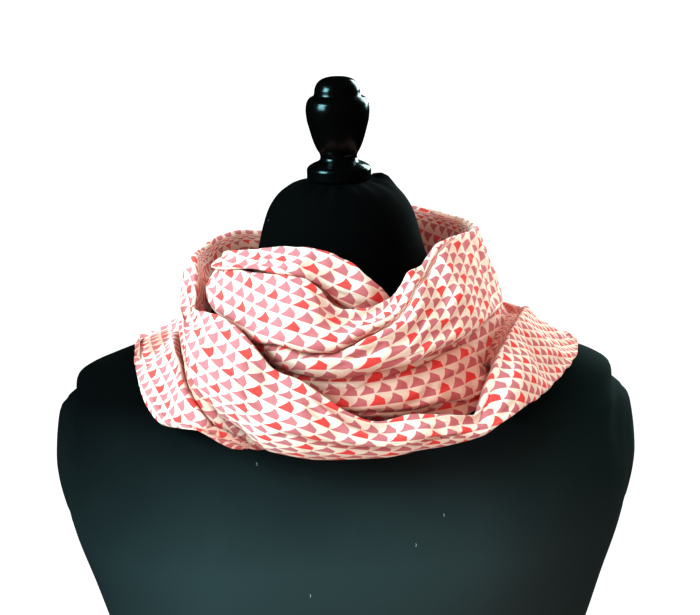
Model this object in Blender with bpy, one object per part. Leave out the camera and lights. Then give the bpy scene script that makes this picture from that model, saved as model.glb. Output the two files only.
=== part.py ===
"""An infinity scarf wound twice round the neck of a limbless dress form.

The frame is metres with +Z up. The form stands on its flat hip line at z = 0, its neck rises
round the Z axis and its chest faces -Y. An angle is counted in degrees from the front (-Y)
towards -X, so one winding of the scarf adds 360.

The scarf is one endless band of cloth. Each stretch of it that shows is a thin wall, swept
through upright sections: a fold at its upper edge, a bulging face, and a fold at its lower edge.
"""

import math
from collections import namedtuple

import bmesh
import bpy
import numpy as np
from mathutils import Vector
from mathutils.bvhtree import BVHTree

MM = 0.001

# Driving sizes, in millimetres.
NECK_TOP = 700.0  # height of the form, from hip line to neck top
WALL = 2.0  # thickness of the cloth's wall
SEAM_GAP = 0.8  # between the ends of two stretches
REST_GAP = 0.6  # between cloth and what it rests on
BAND_RADIUS = 115.0  # middle of the scarf's ring, where lengths along it are measured
SECTION_STEP = 5.0  # degrees between two sections of a stretch

# ---------------------------------------------------------------------------------------------
# Dress form: half width, and depth before and behind the neck's axis, at each height.
# A higher squareness fills out the corners of the oval.
# ---------------------------------------------------------------------------------------------
Ring = namedtuple("Ring", "height half_width front back squareness")
TORSO = (
    Ring(0, 163, 108, 112, 2.3),
    Ring(60, 168, 114, 119, 2.3),
    Ring(150, 150, 103, 104, 2.3),
    Ring(240, 124, 92, 84, 2.2),
    Ring(330, 147, 112, 92, 2.3),
    Ring(390, 173, 124, 98, 2.4),
    Ring(425, 185, 127, 101, 2.5),
    Ring(465, 196, 121, 102, 2.7),
    Ring(512, 204, 107, 100, 2.8),
    Ring(545, 200, 92, 95, 2.6),
    Ring(559, 192, 83, 86, 2.4),
    Ring(567, 187, 77, 80, 2.25),
    Ring(573, 178, 73, 76, 2.15),
    Ring(579, 164, 70, 72, 2.05),
    Ring(587, 143, 66, 69, 2.0),
    Ring(597, 118, 62, 65.5, 2.0),
    Ring(608, 96, 59.5, 62.5, 2.0),
    Ring(620, 79, 58, 61, 2.0),
    Ring(634, 66, 56.5, 59, 2.0),
    Ring(650, 58.5, 55, 56.5, 2.0),
    Ring(668, 54, 52, 53, 2.0),
    Ring(680, 50, 48, 49, 2.0),
    Ring(689, 44.5, 43, 44, 2.0),
    Ring(695, 38, 37, 37.5, 2.0),
    Ring(698.6, 30, 29.5, 29.5, 2.0),
    Ring(700, 24, 24, 24, 2.0),
)
TALLEST_RING = 20.0  # between two rings of the torso before one more is set between them
TORSO_SIDES = 36

# Turned finial: radius at each height above the neck top.
Turning = namedtuple("Turning", "radius height")
FINIAL = (
    Turning(21.6, 0.0),
    Turning(22.2, 1.0),
    Turning(22.2, 7.0),
    Turning(21.4, 9.1),
    Turning(18.8, 11.0),
    Turning(13.4, 13.7),
    Turning(12.6, 15.9),
    Turning(13.0, 18.0),
    Turning(15.0, 21.5),
    Turning(17.6, 27.9),
    Turning(20.0, 36.2),
    Turning(21.5, 42.4),
    Turning(22.0, 48.4),
    Turning(21.4, 53.2),
    Turning(19.4, 56.7),
    Turning(16.4, 58.5),
    Turning(15.9, 59.8),
    Turning(15.6, 62.5),
    Turning(14.2, 66.2),
    Turning(11.6, 68.9),
    Turning(8.0, 70.5),
    Turning(6.2, 70.9),
)
FINIAL_SIDES = 28

# ---------------------------------------------------------------------------------------------
# The scarf's sections. Each row is one upright section through the band at an angle: the radius
# and height of its upper and lower edge, how far the face between them bulges, the radius of
# the fold at each edge, how far the cloth runs down and leans in behind the upper edge, and how
# far it turns back under the lower one.
# ---------------------------------------------------------------------------------------------
Section = namedtuple(
    "Section", "angle top_r top_z low_r low_z bulge top_roll low_roll inside lean under"
)
WINDING = (
    # Out from beneath the front, over the left shoulder.
    Section(23, 111, 551, 130, 541, 0, 3, 3.5, 2, 0, 0),
    Section(25.5, 113, 552, 144, 542.5, 0, 3, 4, 3, 0, 0),
    Section(30, 113, 555, 150, 546.5, 0, 3, 4.5, 3, 0, 1),
    Section(38, 116, 564, 152.5, 552, 1, 4, 4, 4, 0, 2),
    Section(44, 117, 579, 154, 551.5, 4, 4, 4, 4, 0, 2),
    Section(52, 114, 594, 155, 551, 8, 4, 3.5, 4, 0, 1),
    Section(60, 110, 600, 153.5, 558, 8.5, 4, 3, 4, 0, 0),
    Section(69, 110, 606.5, 150.5, 572, 5, 3.5, 2.5, 0, 3, 0),
    Section(78, 111, 610, 149, 582, 0.5, 3, 2.5, 0, 4, 0),
    Section(86, 112, 610.5, 147.5, 587.5, -2, 3, 2.5, 0, 4, 0),
    Section(96, 111, 609.5, 147, 587.5, -2, 3, 2.5, 0, 4, 0),
    Section(104, 109.5, 607.5, 148, 584, 0, 3, 2.5, 0, 4, 0),
    Section(112, 108, 605, 149, 578.5, 2, 3, 2.5, 0, 4, 0),
    # Across the upper back.
    Section(130, 104, 602, 142, 565, 7, 5, 5, 8, 2, 3),
    Section(155, 103, 602.5, 126, 555, 8, 6, 7, 12, 2, 5),
    Section(180, 102, 602.5, 119, 552, 8, 6, 7, 12, 2, 5),
    Section(200, 106, 601.5, 124, 554, 8, 6, 7, 10, 4, 5),
    Section(218, 113.5, 602.5, 139, 560, 7, 5, 5, 6, 8, 3),
    Section(234, 120, 603.5, 153, 568, 5, 5, 3, 3, 9, 1),
    # Over the right shoulder and down to the chest.
    Section(250, 125.5, 603.5, 160, 574.5, 3, 5, 2.5, 0, 8, 0),
    Section(262, 129, 604.5, 164, 581, 1.5, 5, 2.5, 0, 8, 0),
    Section(272, 131, 608, 165, 581.5, 1, 5, 2.5, 0, 12, 0),
    Section(281, 133, 612, 165, 578.5, 1.5, 5, 2.5, 3, 18, 0),
    Section(289, 134, 611.5, 162, 574.5, 3, 5, 2.5, 6, 22, 0),
    Section(297, 135, 607.5, 157, 566, 5, 5, 2.5, 6, 25, 0),
    Section(303, 136, 600.5, 154.5, 561.5, 6, 5, 3, 6, 23, 1),
    Section(307, 137, 594, 153, 559, 6, 5, 3.5, 6, 3, 2),
    Section(311.4, 138, 585.5, 151.5, 555, 5, 4.5, 4, 6, 0, 3),
    Section(314.6, 138, 576.5, 150.5, 552.5, 4, 4.5, 4, 5, 0, 3),
    Section(317.6, 139, 566, 149.5, 549.5, 3, 4, 4, 4, 0, 2),
    # The low front edge of the cowl, rising to the left.
    Section(320.5, 139.5, 558, 148.5, 545.5, 2, 3.5, 4, 3, 2, 0),
    Section(325, 138.5, 559, 146.5, 543.5, 3, 3.5, 4.5, 4, 3, 1),
    Section(331, 138, 562, 145.5, 541.5, 4, 4, 7, 4, 3, 3),
    Section(340, 137, 564.5, 143.5, 539.3, 6, 5, 9, 6, 3, 6),
    Section(350, 134.5, 561, 142.5, 536, 7, 5, 10, 8, 2, 8),
    Section(359.5, 132, 568, 142.5, 536.2, 8, 5, 11, 8, 2, 8),
    Section(365.4, 131, 577.5, 143.5, 536.7, 9, 5, 11, 8, 2, 8),
    Section(373, 129.5, 588.5, 146, 539, 10, 5, 10, 8, 2, 5),
    Section(381.4, 128.5, 594.5, 146, 543.5, 11, 5, 7, 6, 2, 0),
    Section(388, 126.5, 608, 143, 553.5, 11, 4.5, 6, 2, 0, 2),
    Section(395, 124.5, 618.4, 141, 560, 10, 4.5, 6, 2, 0, 4),
    Section(405, 120, 624, 139, 577, 8, 4, 5, 4, 1, 5),
    Section(412, 118, 624, 132, 593, 5, 4, 4.5, 4, 1, 4),
    Section(421, 115, 621.3, 123.5, 606.5, 2, 4, 4, 6, 2, 3),
    Section(429, 112, 620.5, 119.5, 612, 1, 3.5, 3.5, 10, 4, 1),
    # Gathered at the left, and up behind the neck.
    Section(438.6, 107, 627, 115, 614.5, 1, 4, 4, 16, 6, 1),
    Section(446, 106, 638.5, 112.5, 614, 2, 4, 4, 22, 8, 2),
    Section(458, 108, 648, 112.5, 612, 2, 4, 4, 24, 8, 3),
    Section(470, 110, 648, 114, 608, 3, 4, 5, 24, 8, 4),
    Section(482, 110, 652.5, 115, 604, 4, 4, 5, 24, 8, 4),
    Section(494, 109, 653.5, 116, 602, 5, 4, 5, 24, 8, 4),
    Section(505, 105.5, 651.5, 116, 601, 6, 4, 5, 26, 8, 4),
    Section(520, 100, 653, 115, 600.5, 7, 4, 5, 28, 8, 4),
    Section(540, 97, 659, 114, 601, 8, 4, 5, 30, 8, 4),
    Section(560, 95, 665.5, 112.5, 603, 8, 4, 5, 32, 9, 4),
    Section(575, 95, 669, 111.5, 605, 7, 4, 5, 34, 9, 4),
    Section(592, 95, 667, 111, 605.5, 6, 4, 5, 36, 10, 4),
    Section(607, 96, 666, 111, 604.5, 5, 4, 5, 36, 10, 4),
    # Folded forward at the right, and down across the front of the neck.
    Section(622, 97.5, 665.5, 111, 606, 4, 4, 5, 34, 10, 3),
    Section(636, 98.5, 666.5, 111.5, 610, 2, 4, 5, 28, 10, 3),
    Section(650, 98, 668, 114.5, 612, 2, 4, 5, 20, 8, 5),
    Section(663, 97, 668, 118, 610, 4, 4, 6, 14, 5, 6),
    Section(675.5, 96.5, 665.5, 121, 604.5, 6, 4, 6, 10, 3, 6),
    Section(681, 96.5, 658.5, 121, 603, 7, 4, 6, 10, 3, 6),
    Section(685, 97, 653, 121, 600, 7, 4, 6, 10, 3, 6),
    Section(691, 97.5, 651.5, 121, 597, 7, 4, 6, 10, 3, 6),
    Section(695, 99, 643.5, 120.8, 594.5, 7, 4, 6, 10, 3, 6),
    Section(701, 99.5, 634.5, 120, 592, 8, 4, 6, 10, 3, 6),
    Section(711, 99.5, 629.5, 119.7, 589.7, 9, 4, 6, 10, 3, 6),
    Section(719, 99.5, 629, 118.5, 586.7, 9, 4, 6, 10, 2, 6),
    Section(724, 98.5, 632.5, 118, 586, 10, 4, 6, 10, 2, 6),
    Section(728.5, 97, 642, 118, 586.8, 11, 4, 6, 10, 2, 6),
    Section(736, 97.5, 650, 116, 588.5, 11, 4, 6, 12, 3, 5),
    Section(748.6, 99, 651.5, 108.7, 592, 8.8, 4, 5, 12, 4, 4),
    Section(765.7, 99, 650.5, 99, 598, 6, 4, 4, 10, 4, 2),
    Section(784, 96, 648, 95.5, 609, 4, 4, 3, 8, 3, 0),
    Section(797, 89.5, 642, 90.5, 617, 2, 3.5, 2.5, 6, 2, 0),
    Section(812, 85.5, 636, 86, 621, 1, 3, 2.5, 3, 1, 0),
)
STRETCHES = (
    # name, first angle and last angle along the winding
    ("outer_left", 23, 112),
    ("outer_back", 112, 246),
    ("outer_right", 246, 320.5),
    ("outer_front", 320.5, 440),
    ("collar_back", 440, 636),
    ("upper_front", 636, 812),
)
# The upper roll of the front, slipped up at the left, and the layer inside the cowl.
UPPER_LIP = (
    Section(-26, 80, 628, 82, 615, 1, 3, 2.5, 2, 1, 0),
    Section(-20, 82.5, 637, 84, 619, 1, 3, 2.5, 6, 1, 0),
    Section(-13.4, 82.5, 646.5, 84.5, 621, 2, 3, 2.5, 8, 2, 0),
    Section(-4.5, 78.3, 656.5, 85, 624, 3, 3.5, 2.5, 12, 3, 0),
    Section(2.8, 76.5, 661.2, 85, 631, 3, 3.5, 2.5, 14, 4, 0),
    Section(10.5, 75.5, 664.5, 85.5, 642, 3, 3.5, 2.5, 16, 4, 0),
    Section(18.4, 75.5, 666.2, 91, 651.6, 3, 3.5, 2.5, 18, 4, 0),
    Section(26.6, 76, 666.2, 95.5, 653.7, 3, 3.5, 2.5, 18, 4, 0),
    Section(37.7, 78, 665, 97, 654, 2.5, 3.5, 2.5, 18, 4, 0),
    Section(46, 80, 663, 98, 653.6, 2, 3.5, 2.5, 16, 4, 0),
    Section(55, 84, 661.5, 98.5, 652.9, 2, 3, 2.5, 10, 4, 0),
    Section(64, 87, 659, 97.5, 651, 1.5, 2.5, 2.5, 4, 2, 0),
    Section(74, 85.5, 655.5, 92, 647, 1, 2.5, 2.5, 1, 1, 0),
    Section(84, 82, 652, 86.5, 644, 0.5, 2.5, 2.5, 1, 1, 0),
)
INNER_FRONT = (
    Section(308, 117.5, 588, 128.5, 565.5, 0, 2.5, 2.5, 2, 0, 0),
    Section(309.5, 117.5, 592, 129.5, 562, 0, 2.5, 2.5, 2, 0, 0),
    Section(312.5, 117.5, 598, 130, 558, 0, 3, 2.5, 4, 0, 0),
    Section(316, 117.5, 601, 127, 553.5, 0, 3.5, 3, 4, 0, 1),
    Section(320, 117.5, 599, 126, 551, 1, 3.5, 3.5, 4, 0, 2),
    Section(325, 116.5, 596, 121, 552, 3, 3.5, 4, 4, 0, 3),
    Section(330, 116, 592.5, 119, 553.5, 5, 3.5, 4, 4, 0, 3),
    Section(337, 115, 588.5, 118, 554.5, 5, 3.5, 4, 4, 0, 3),
    Section(350, 112.5, 584, 116, 555, 5, 3.5, 4, 4, 0, 3),
    Section(360, 110.5, 580.5, 115, 556, 4, 3.5, 4, 4, 0, 3),
    Section(372, 108, 581.5, 112, 562, 3, 3.5, 4, 4, 0, 3),
)

# ---------------------------------------------------------------------------------------------
# The largest folds: each runs from one angle and share of the face (0 at the upper edge, 1 at
# the lower) to another, and moves the face out by its height. A trough has a negative height.
# ---------------------------------------------------------------------------------------------
Fold = namedtuple("Fold", "angle_1 share_1 angle_2 share_2 height width")
FOLDS = (
    # left shoulder, upper back
    Fold(96, 0.45, 52, 0.56, -2.5, 7.0),
    Fold(122, 0.36, 205, 0.44, -4.0, 8.0),
    Fold(150, 0.70, 238, 0.60, -4.0, 8.0),
    # right shoulder, low front edge
    Fold(272, 0.55, 305, 0.70, -2.0, 6.0),
    Fold(380, 0.80, 336, 0.80, -2.5, 5.0),
    Fold(412, 0.52, 368, 0.60, -2.5, 7.0),
    # behind the neck
    Fold(468, 0.45, 556, 0.52, -3.5, 8.0),
    Fold(530, 0.76, 622, 0.66, -3.0, 7.0),
    # across the front: the deep crease, the roll above it, and the soft crease at the right
    Fold(758, 0.70, 726, 0.65, -6.5, 4.5),
    Fold(740, 0.67, 710, 0.48, -6.5, 4.5),
    Fold(746, 0.48, 710, 0.36, 3.0, 7.0),
    Fold(684, 0.18, 717, 0.46, -3.5, 5.5),
)
LIP_FOLDS = (Fold(20, 0.72, 62, 0.62, -1.5, 3.0),)
INNER_FOLDS = (
    Fold(312, 0.45, 352, 0.62, -2.0, 5.0),
    Fold(316, 0.22, 366, 0.30, 1.5, 6.0),
)

Finish = namedtuple("Finish", "colour roughness metallic")
CLOTH = Finish((0.80, 0.42, 0.40), 0.85, 0.0)
JERSEY = Finish((0.018, 0.020, 0.022), 0.80, 0.0)
LACQUER = Finish((0.006, 0.006, 0.006), 0.18, 0.0)


def eased(at, knots, values):
    """A smooth curve through values at knots, read at a number or array, that never overshoots."""
    knots = np.asarray(knots, float)
    values = np.asarray(values, float)
    span = np.diff(knots)
    slope = np.diff(values) / span
    before, after = slope[:-1], slope[1:]
    tangent = np.concatenate([slope[:1], np.zeros(len(before)), slope[-1:]])
    climbing = before * after > 0
    tangent[1:-1][climbing] = (2 * before * after)[climbing] / (before + after)[climbing]
    i = np.clip(np.searchsorted(knots, at, side="right") - 1, 0, len(span) - 1)
    t = (at - knots[i]) / span[i]
    return (
        (2 * t**3 - 3 * t**2 + 1) * values[i]
        + (t**3 - 2 * t**2 + t) * span[i] * tangent[i]
        + (3 * t**2 - 2 * t**3) * values[i + 1]
        + (t**3 - t**2) * span[i] * tangent[i + 1]
    )


def columns(rows, key, at):
    """A table's columns read at the given angles or heights, as arrays by name."""
    keys = [getattr(row, key) for row in rows]
    return {
        name: eased(at, keys, [getattr(row, name) for row in rows])
        for name in rows[0]._fields
        if name != key
    }


def curve_through(points, at):
    """A centripetal curve through points[:, k], read at fractions of k: arrays of (row, at, 2)."""
    first = 2 * points[:, :1] - points[:, 1:2]
    last = 2 * points[:, -1:] - points[:, -2:-1]
    points = np.concatenate([first, points, last], axis=1)
    reach = np.sqrt(np.linalg.norm(np.diff(points, axis=1), axis=2)) + 1e-9
    knots = np.concatenate([np.zeros((len(points), 1)), np.cumsum(reach, axis=1)], axis=1)
    i = np.clip(np.floor(at).astype(int), 0, points.shape[1] - 4)
    p = [points[:, i + k] for k in range(4)]
    t = [knots[:, i + k][..., None] for k in range(4)]
    now = t[1] + (t[2] - t[1]) * (at - i)[None, :, None]

    def between(a, b, start, end):
        return ((end - now) * a + (now - start) * b) / (end - start)

    a1 = between(p[0], p[1], t[0], t[1])
    a2 = between(p[1], p[2], t[1], t[2])
    a3 = between(p[2], p[3], t[2], t[3])
    b1 = between(a1, a2, t[0], t[2])
    b2 = between(a2, a3, t[1], t[3])
    return between(b1, b2, t[1], t[2])


# Places along a section's outline, counted in its control points: inside wall, upper fold,
# face, lower fold and turned-back cloth.
FACE_TOP, FACE_LOW = 3, 9
ACROSS = np.array([0, 1, 2, 2.5, 3, 3.5, 4, 4.8, 5.6, 6.4, 7.2, 8, 8.5, 9, 9.5, 10, 11])


def outlines(c, across):
    """Each section's outline as (radius, height), from the inside wall's end to the lower one's."""
    top_r, top_z, low_r, low_z = c["top_r"], c["top_z"], c["low_r"], c["low_z"]
    top_roll, low_roll = c["top_roll"], c["low_roll"]
    face_r = low_r - top_r
    face_z = (low_z + low_roll) - (top_z - top_roll)
    length = np.hypot(face_r, face_z)
    out_r, out_z = -face_z / length, face_r / length
    control = [
        (top_r - 2 * top_roll - c["lean"], top_z - top_roll - c["inside"]),
        (top_r - 2 * top_roll - c["lean"] / 2, top_z - top_roll - c["inside"] / 2),
        (top_r - 2 * top_roll, top_z - top_roll),
        (top_r - top_roll, top_z),
        (top_r, top_z - top_roll),
    ]
    for share in (0.25, 0.5, 0.75):
        swell = 4 * share * (1 - share) * c["bulge"]
        control.append(
            (
                top_r + share * face_r + swell * out_r,
                top_z - top_roll + share * face_z + swell * out_z,
            )
        )
    turned_r, turned_z = low_r - 2 * low_roll, low_z + 0.35 * low_roll
    control += [
        (low_r, low_z + low_roll),
        (low_r - low_roll, low_z),
        (turned_r, turned_z),
        (turned_r - 1 - 0.85 * c["under"], turned_z + 0.2 + 0.35 * c["under"]),
    ]
    return curve_through(np.stack([np.stack(point, axis=1) for point in control], axis=1), across)


def placed(angles, outline):
    """(radius, height) outlines set upright round the neck at their angles."""
    turn = np.radians(angles)[:, None]
    radius, height = outline[..., 0], outline[..., 1]
    return np.stack([-radius * np.sin(turn), -radius * np.cos(turn), height], axis=2)


def normals_of(grid):
    """Unit normals of a grid of points, facing away from the neck on a section's face."""
    along = np.gradient(grid, axis=0)
    across = np.gradient(grid, axis=1)
    normal = np.cross(across, along)
    return normal / (np.linalg.norm(normal, axis=2, keepdims=True) + 1e-9)


def folded(grid, angles, across, folds):
    """The grid with its ridges and troughs. Distances are measured on the face laid flat."""
    share = (across - FACE_TOP) / (FACE_LOW - FACE_TOP)
    on_face = (share >= 0) & (share <= 1)
    face = np.linalg.norm(np.diff(grid[:, on_face], axis=1), axis=2).sum(axis=1)
    along_mm = np.radians(angles)[:, None] * BAND_RADIUS
    place = np.stack(np.broadcast_arrays(along_mm, face[:, None] * share), axis=2)
    moved = np.zeros(grid.shape[:2])
    for fold in folds:
        ends = np.array([fold.angle_1, fold.angle_2])
        start, stop = np.stack(
            [
                np.radians(ends) * BAND_RADIUS,
                np.array([fold.share_1, fold.share_2]) * np.interp(ends, angles, face),
            ],
            axis=1,
        )
        way = stop - start
        progress = np.clip((place - start) @ way / (way @ way), 0, 1)
        away = np.linalg.norm(place - start - progress[..., None] * way, axis=2)
        moved += fold.height * np.sin(np.pi * progress) ** 0.7 * np.exp(-((away / fold.width) ** 2))
    return grid + moved[..., None] * normals_of(grid)


def pushed_out(points, tree, distance):
    """How each point must move to stand at least distance from the form."""
    moves = np.zeros(points.shape)
    for i, point in enumerate(points):
        place, normal, _, _ = tree.find_nearest(Vector(point * MM))
        depth = (Vector(point * MM) - place).dot(normal) / MM
        if depth < distance:
            moves[i] = np.array(normal) * (distance - depth)
    return moves


def clear_of(grid, tree, distance, rounds=4):
    """The grid with its points, and the middles of its faces, kept a distance from the form."""
    grid = grid.copy()
    for _ in range(rounds):
        grid += pushed_out(grid.reshape(-1, 3), tree, distance).reshape(grid.shape)
        middles = (grid[:-1, :-1] + grid[1:, :-1] + grid[:-1, 1:] + grid[1:, 1:]) / 4
        moves = pushed_out(middles.reshape(-1, 3), tree, distance).reshape(middles.shape)
        grid[:-1, :-1] += moves
        grid[1:, 1:] += moves
    return grid


def material(name, finish):
    made = bpy.data.materials.new(name)
    made.use_nodes = True
    made.diffuse_color = (*finish.colour, 1.0)
    shader = made.node_tree.nodes["Principled BSDF"]
    shader.inputs["Base Color"].default_value = (*finish.colour, 1.0)
    shader.inputs["Roughness"].default_value = finish.roughness
    shader.inputs["Metallic"].default_value = finish.metallic
    return made


def new_object(name, mesh, finish):
    """The edited mesh as an object of this name, with a material of its own."""
    data = bpy.data.meshes.new(name)
    mesh.to_mesh(data)
    mesh.free()
    data.materials.append(material(name, finish))
    data.shade_smooth()
    obj = bpy.data.objects.new(name, data)
    bpy.context.scene.collection.objects.link(obj)
    return obj


def torso_points(heights, sides):
    """Rings of the form at the given heights, each an oval that is deeper behind or before."""
    c = columns(TORSO, "height", heights)
    turn = np.linspace(0, 2 * math.pi, sides, endpoint=False)[None, :]
    power = 2 / c["squareness"][:, None]
    across, forward = np.sin(turn), np.cos(turn)
    x = -np.sign(across) * np.abs(across) ** power * c["half_width"][:, None]
    depth = np.where(forward > 0, c["front"][:, None], c["back"][:, None])
    y = -np.sign(forward) * np.abs(forward) ** power * depth
    z = np.repeat(heights[:, None], sides, axis=1)
    return np.stack([x, y, z], axis=2)


def torso():
    """The form's body and neck: rings bridged into one closed skin with flat ends."""
    heights = np.array([ring.height for ring in TORSO], float)
    halfway = (heights[:-1] + heights[1:]) / 2
    heights = np.sort(np.concatenate([heights, halfway[np.diff(heights) > TALLEST_RING]]))
    grid = torso_points(heights, TORSO_SIDES) * MM
    mesh = bmesh.new()
    rings = [[mesh.verts.new(point) for point in ring] for ring in grid]
    for lower, upper in zip(rings, rings[1:]):
        for k in range(TORSO_SIDES):
            after = (k + 1) % TORSO_SIDES
            mesh.faces.new((lower[after], lower[k], upper[k], upper[after]))
    mesh.faces.new(rings[0])
    mesh.faces.new(rings[-1][::-1])
    bmesh.ops.recalc_face_normals(mesh, faces=mesh.faces)
    return new_object("form_torso", mesh, JERSEY)


def finial():
    """The turned knob: its outline spun round the axis, just above the neck's flat top."""
    mesh = bmesh.new()
    base = NECK_TOP + REST_GAP
    rim = [mesh.verts.new((t.radius * MM, 0, (base + t.height) * MM)) for t in FINIAL]
    ends = [mesh.verts.new((0, 0, v.co.z)) for v in (rim[0], rim[-1])]
    line = [ends[0], *rim, ends[1]]
    edges = [mesh.edges.new(pair) for pair in zip(line, line[1:])]
    bmesh.ops.spin(
        mesh,
        geom=line + edges,
        cent=(0, 0, 0),
        axis=(0, 0, 1),
        angle=2 * math.pi,
        steps=FINIAL_SIDES,
        use_merge=True,
    )
    bmesh.ops.remove_doubles(mesh, verts=mesh.verts, dist=1e-6)
    bmesh.ops.recalc_face_normals(mesh, faces=mesh.faces)
    return new_object("form_finial", mesh, LACQUER)


def wall(name, sheet, normals):
    """A sheet of points given its thickness: two skins, half a wall either side, and their rim."""
    mesh = bmesh.new()
    skins = []
    for side in (0.5, -0.5):
        skin = (sheet + side * WALL * normals) * MM
        skins.append([[mesh.verts.new(point) for point in row] for row in skin])
    outer, inner = skins
    long, wide = len(sheet), len(sheet[0])
    for i in range(long - 1):
        for k in range(wide - 1):
            mesh.faces.new((outer[i][k], outer[i][k + 1], outer[i + 1][k + 1], outer[i + 1][k]))
            mesh.faces.new((inner[i][k], inner[i + 1][k], inner[i + 1][k + 1], inner[i][k + 1]))
    rim = [(0, k) for k in range(wide)] + [(i, wide - 1) for i in range(1, long)]
    rim += [(long - 1, k) for k in range(wide - 2, -1, -1)] + [(i, 0) for i in range(long - 2, 0, -1)]
    for (a, b), (c, d) in zip(rim, rim[1:] + rim[:1]):
        mesh.faces.new((outer[a][b], inner[a][b], inner[c][d], outer[c][d]))
    bmesh.ops.recalc_face_normals(mesh, faces=mesh.faces)
    return new_object(name, mesh, CLOTH)


def moved_in(sheet, end, inward):
    """A sheet with its end row drawn half a seam's gap towards the row beside it."""
    way = sheet[inward] - sheet[end]
    edge = np.gradient(sheet[end], axis=0)
    edge /= np.linalg.norm(edge, axis=1, keepdims=True)
    square = way - (way * edge).sum(axis=1, keepdims=True) * edge
    sheet[end] += way * (SEAM_GAP / 2) / np.linalg.norm(square, axis=1, keepdims=True)


def band(rows, spans, folds, form):
    """A band of cloth shaped as one, then cut into a wall for each named span of angles."""
    angles = [spans[0][1]]
    cuts = [0]
    for _, first, last in spans:
        count = 1 + round((last - first) / SECTION_STEP)
        angles.extend(np.linspace(first, last, count)[1:])
        cuts.append(len(angles) - 1)
    angles = np.array(angles, float)
    grid = placed(angles, outlines(columns(rows, "angle", angles), ACROSS))
    grid = folded(grid, angles, ACROSS, folds)
    grid = clear_of(grid, form, REST_GAP + WALL / 2)
    normals = normals_of(grid)
    for (name, _, _), start, stop in zip(spans, cuts, cuts[1:]):
        sheet = grid[start : stop + 1].copy()
        moved_in(sheet, 0, 1)
        moved_in(sheet, -1, -2)
        wall(name, sheet, normals[start : stop + 1])


def tree_of(obj):
    mesh = bmesh.new()
    mesh.from_mesh(obj.data)
    tree = BVHTree.FromBMesh(mesh)
    mesh.free()
    return tree


def main():
    for obj in list(bpy.data.objects):
        bpy.data.objects.remove(obj)
    form = tree_of(torso())
    finial()
    band(WINDING, STRETCHES, FOLDS, form)
    for name, rows, folds in (
        ("upper_lip", UPPER_LIP, LIP_FOLDS),
        ("inner_front", INNER_FRONT, INNER_FOLDS),
    ):
        band(rows, [(name, rows[0].angle, rows[-1].angle)], folds, form)


if __name__ == "__main__":
    main()
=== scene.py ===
# %% [markdown]
# # An infinity scarf on a dress form
# An infinity scarf is a tube of printed cotton sewn into a loop. This one is wound twice round
# the neck of a black dress form. The CAD frame already holds the form and one plain wall for
# each stretch of the scarf. The lesson keeps their sizes and gives them their looks: thin cloth
# with its folds, the print, the jersey, the lacquered knob, and the studio round them.

# %% Load the frame
import math
from collections import namedtuple

import bpy
import numpy as np
from mathutils import Matrix, Vector, noise
from mathutils.bvhtree import BVHTree


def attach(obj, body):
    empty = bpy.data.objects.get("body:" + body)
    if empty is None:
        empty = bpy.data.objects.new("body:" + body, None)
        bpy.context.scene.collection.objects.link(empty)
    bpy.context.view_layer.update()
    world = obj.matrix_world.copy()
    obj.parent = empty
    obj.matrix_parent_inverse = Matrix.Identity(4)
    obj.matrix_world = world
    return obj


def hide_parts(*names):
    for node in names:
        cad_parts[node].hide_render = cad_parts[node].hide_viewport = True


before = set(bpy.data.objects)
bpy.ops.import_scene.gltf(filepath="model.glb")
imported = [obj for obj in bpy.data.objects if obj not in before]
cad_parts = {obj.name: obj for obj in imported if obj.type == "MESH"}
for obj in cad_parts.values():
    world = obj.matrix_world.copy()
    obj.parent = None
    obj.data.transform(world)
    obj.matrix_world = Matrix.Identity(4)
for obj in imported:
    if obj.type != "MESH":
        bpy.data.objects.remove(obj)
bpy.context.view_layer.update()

MM = 0.001
CM = 0.01
print("nodes in the frame:", ", ".join(sorted(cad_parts)))

# %% [markdown]
# ## Camera
# A camera is placed from what it looks at. It stands 1.6 m from a point in the middle of the
# scarf and looks down on it by 12 degrees. The lens follows from the width that the view has to
# take in at that distance, and a small roll levels the shoulders.

# %% Camera
AIM = Vector((5.36, 0, 609.8)) * MM
VIEW_WIDTH = 490 * MM  # across the image at the aim
CAMERA_DISTANCE = 1600 * MM
LOOKING_DOWN = math.radians(12)
ROLL = math.radians(1.36)


def in_scene(name, data):
    """A new object in the scene, made of this data."""
    obj = bpy.data.objects.new(name, data)
    bpy.context.scene.collection.objects.link(obj)
    return obj


def make_camera():
    data = bpy.data.cameras.new("camera")
    data.lens = data.sensor_width * CAMERA_DISTANCE / VIEW_WIDTH
    camera = in_scene("camera", data)
    forward = Vector((0, math.cos(LOOKING_DOWN), -math.sin(LOOKING_DOWN)))
    level = Vector((1, 0, 0))
    above = level.cross(forward)
    right = level * math.cos(ROLL) - above * math.sin(ROLL)
    up = level * math.sin(ROLL) + above * math.cos(ROLL)
    turn = Matrix((right, up, -forward)).transposed().to_4x4()
    camera.matrix_world = Matrix.Translation(AIM - forward * CAMERA_DISTANCE) @ turn
    bpy.context.scene.camera = camera
    return camera


camera = make_camera()
print(f"camera lens {camera.data.lens:.1f} mm")

# %% [markdown]
# ## Trees of nodes
# A printed pattern is a sum on the cloth's own coordinates. Building such a sum out of Math
# nodes by hand is slow to write and hard to read, so a small class wraps a socket: a sum in
# Python on that class adds the Math nodes. Every other node comes from one method, `node`, which
# gives each input a value or a link. Materials and Geometry Nodes are both built with it.

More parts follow.
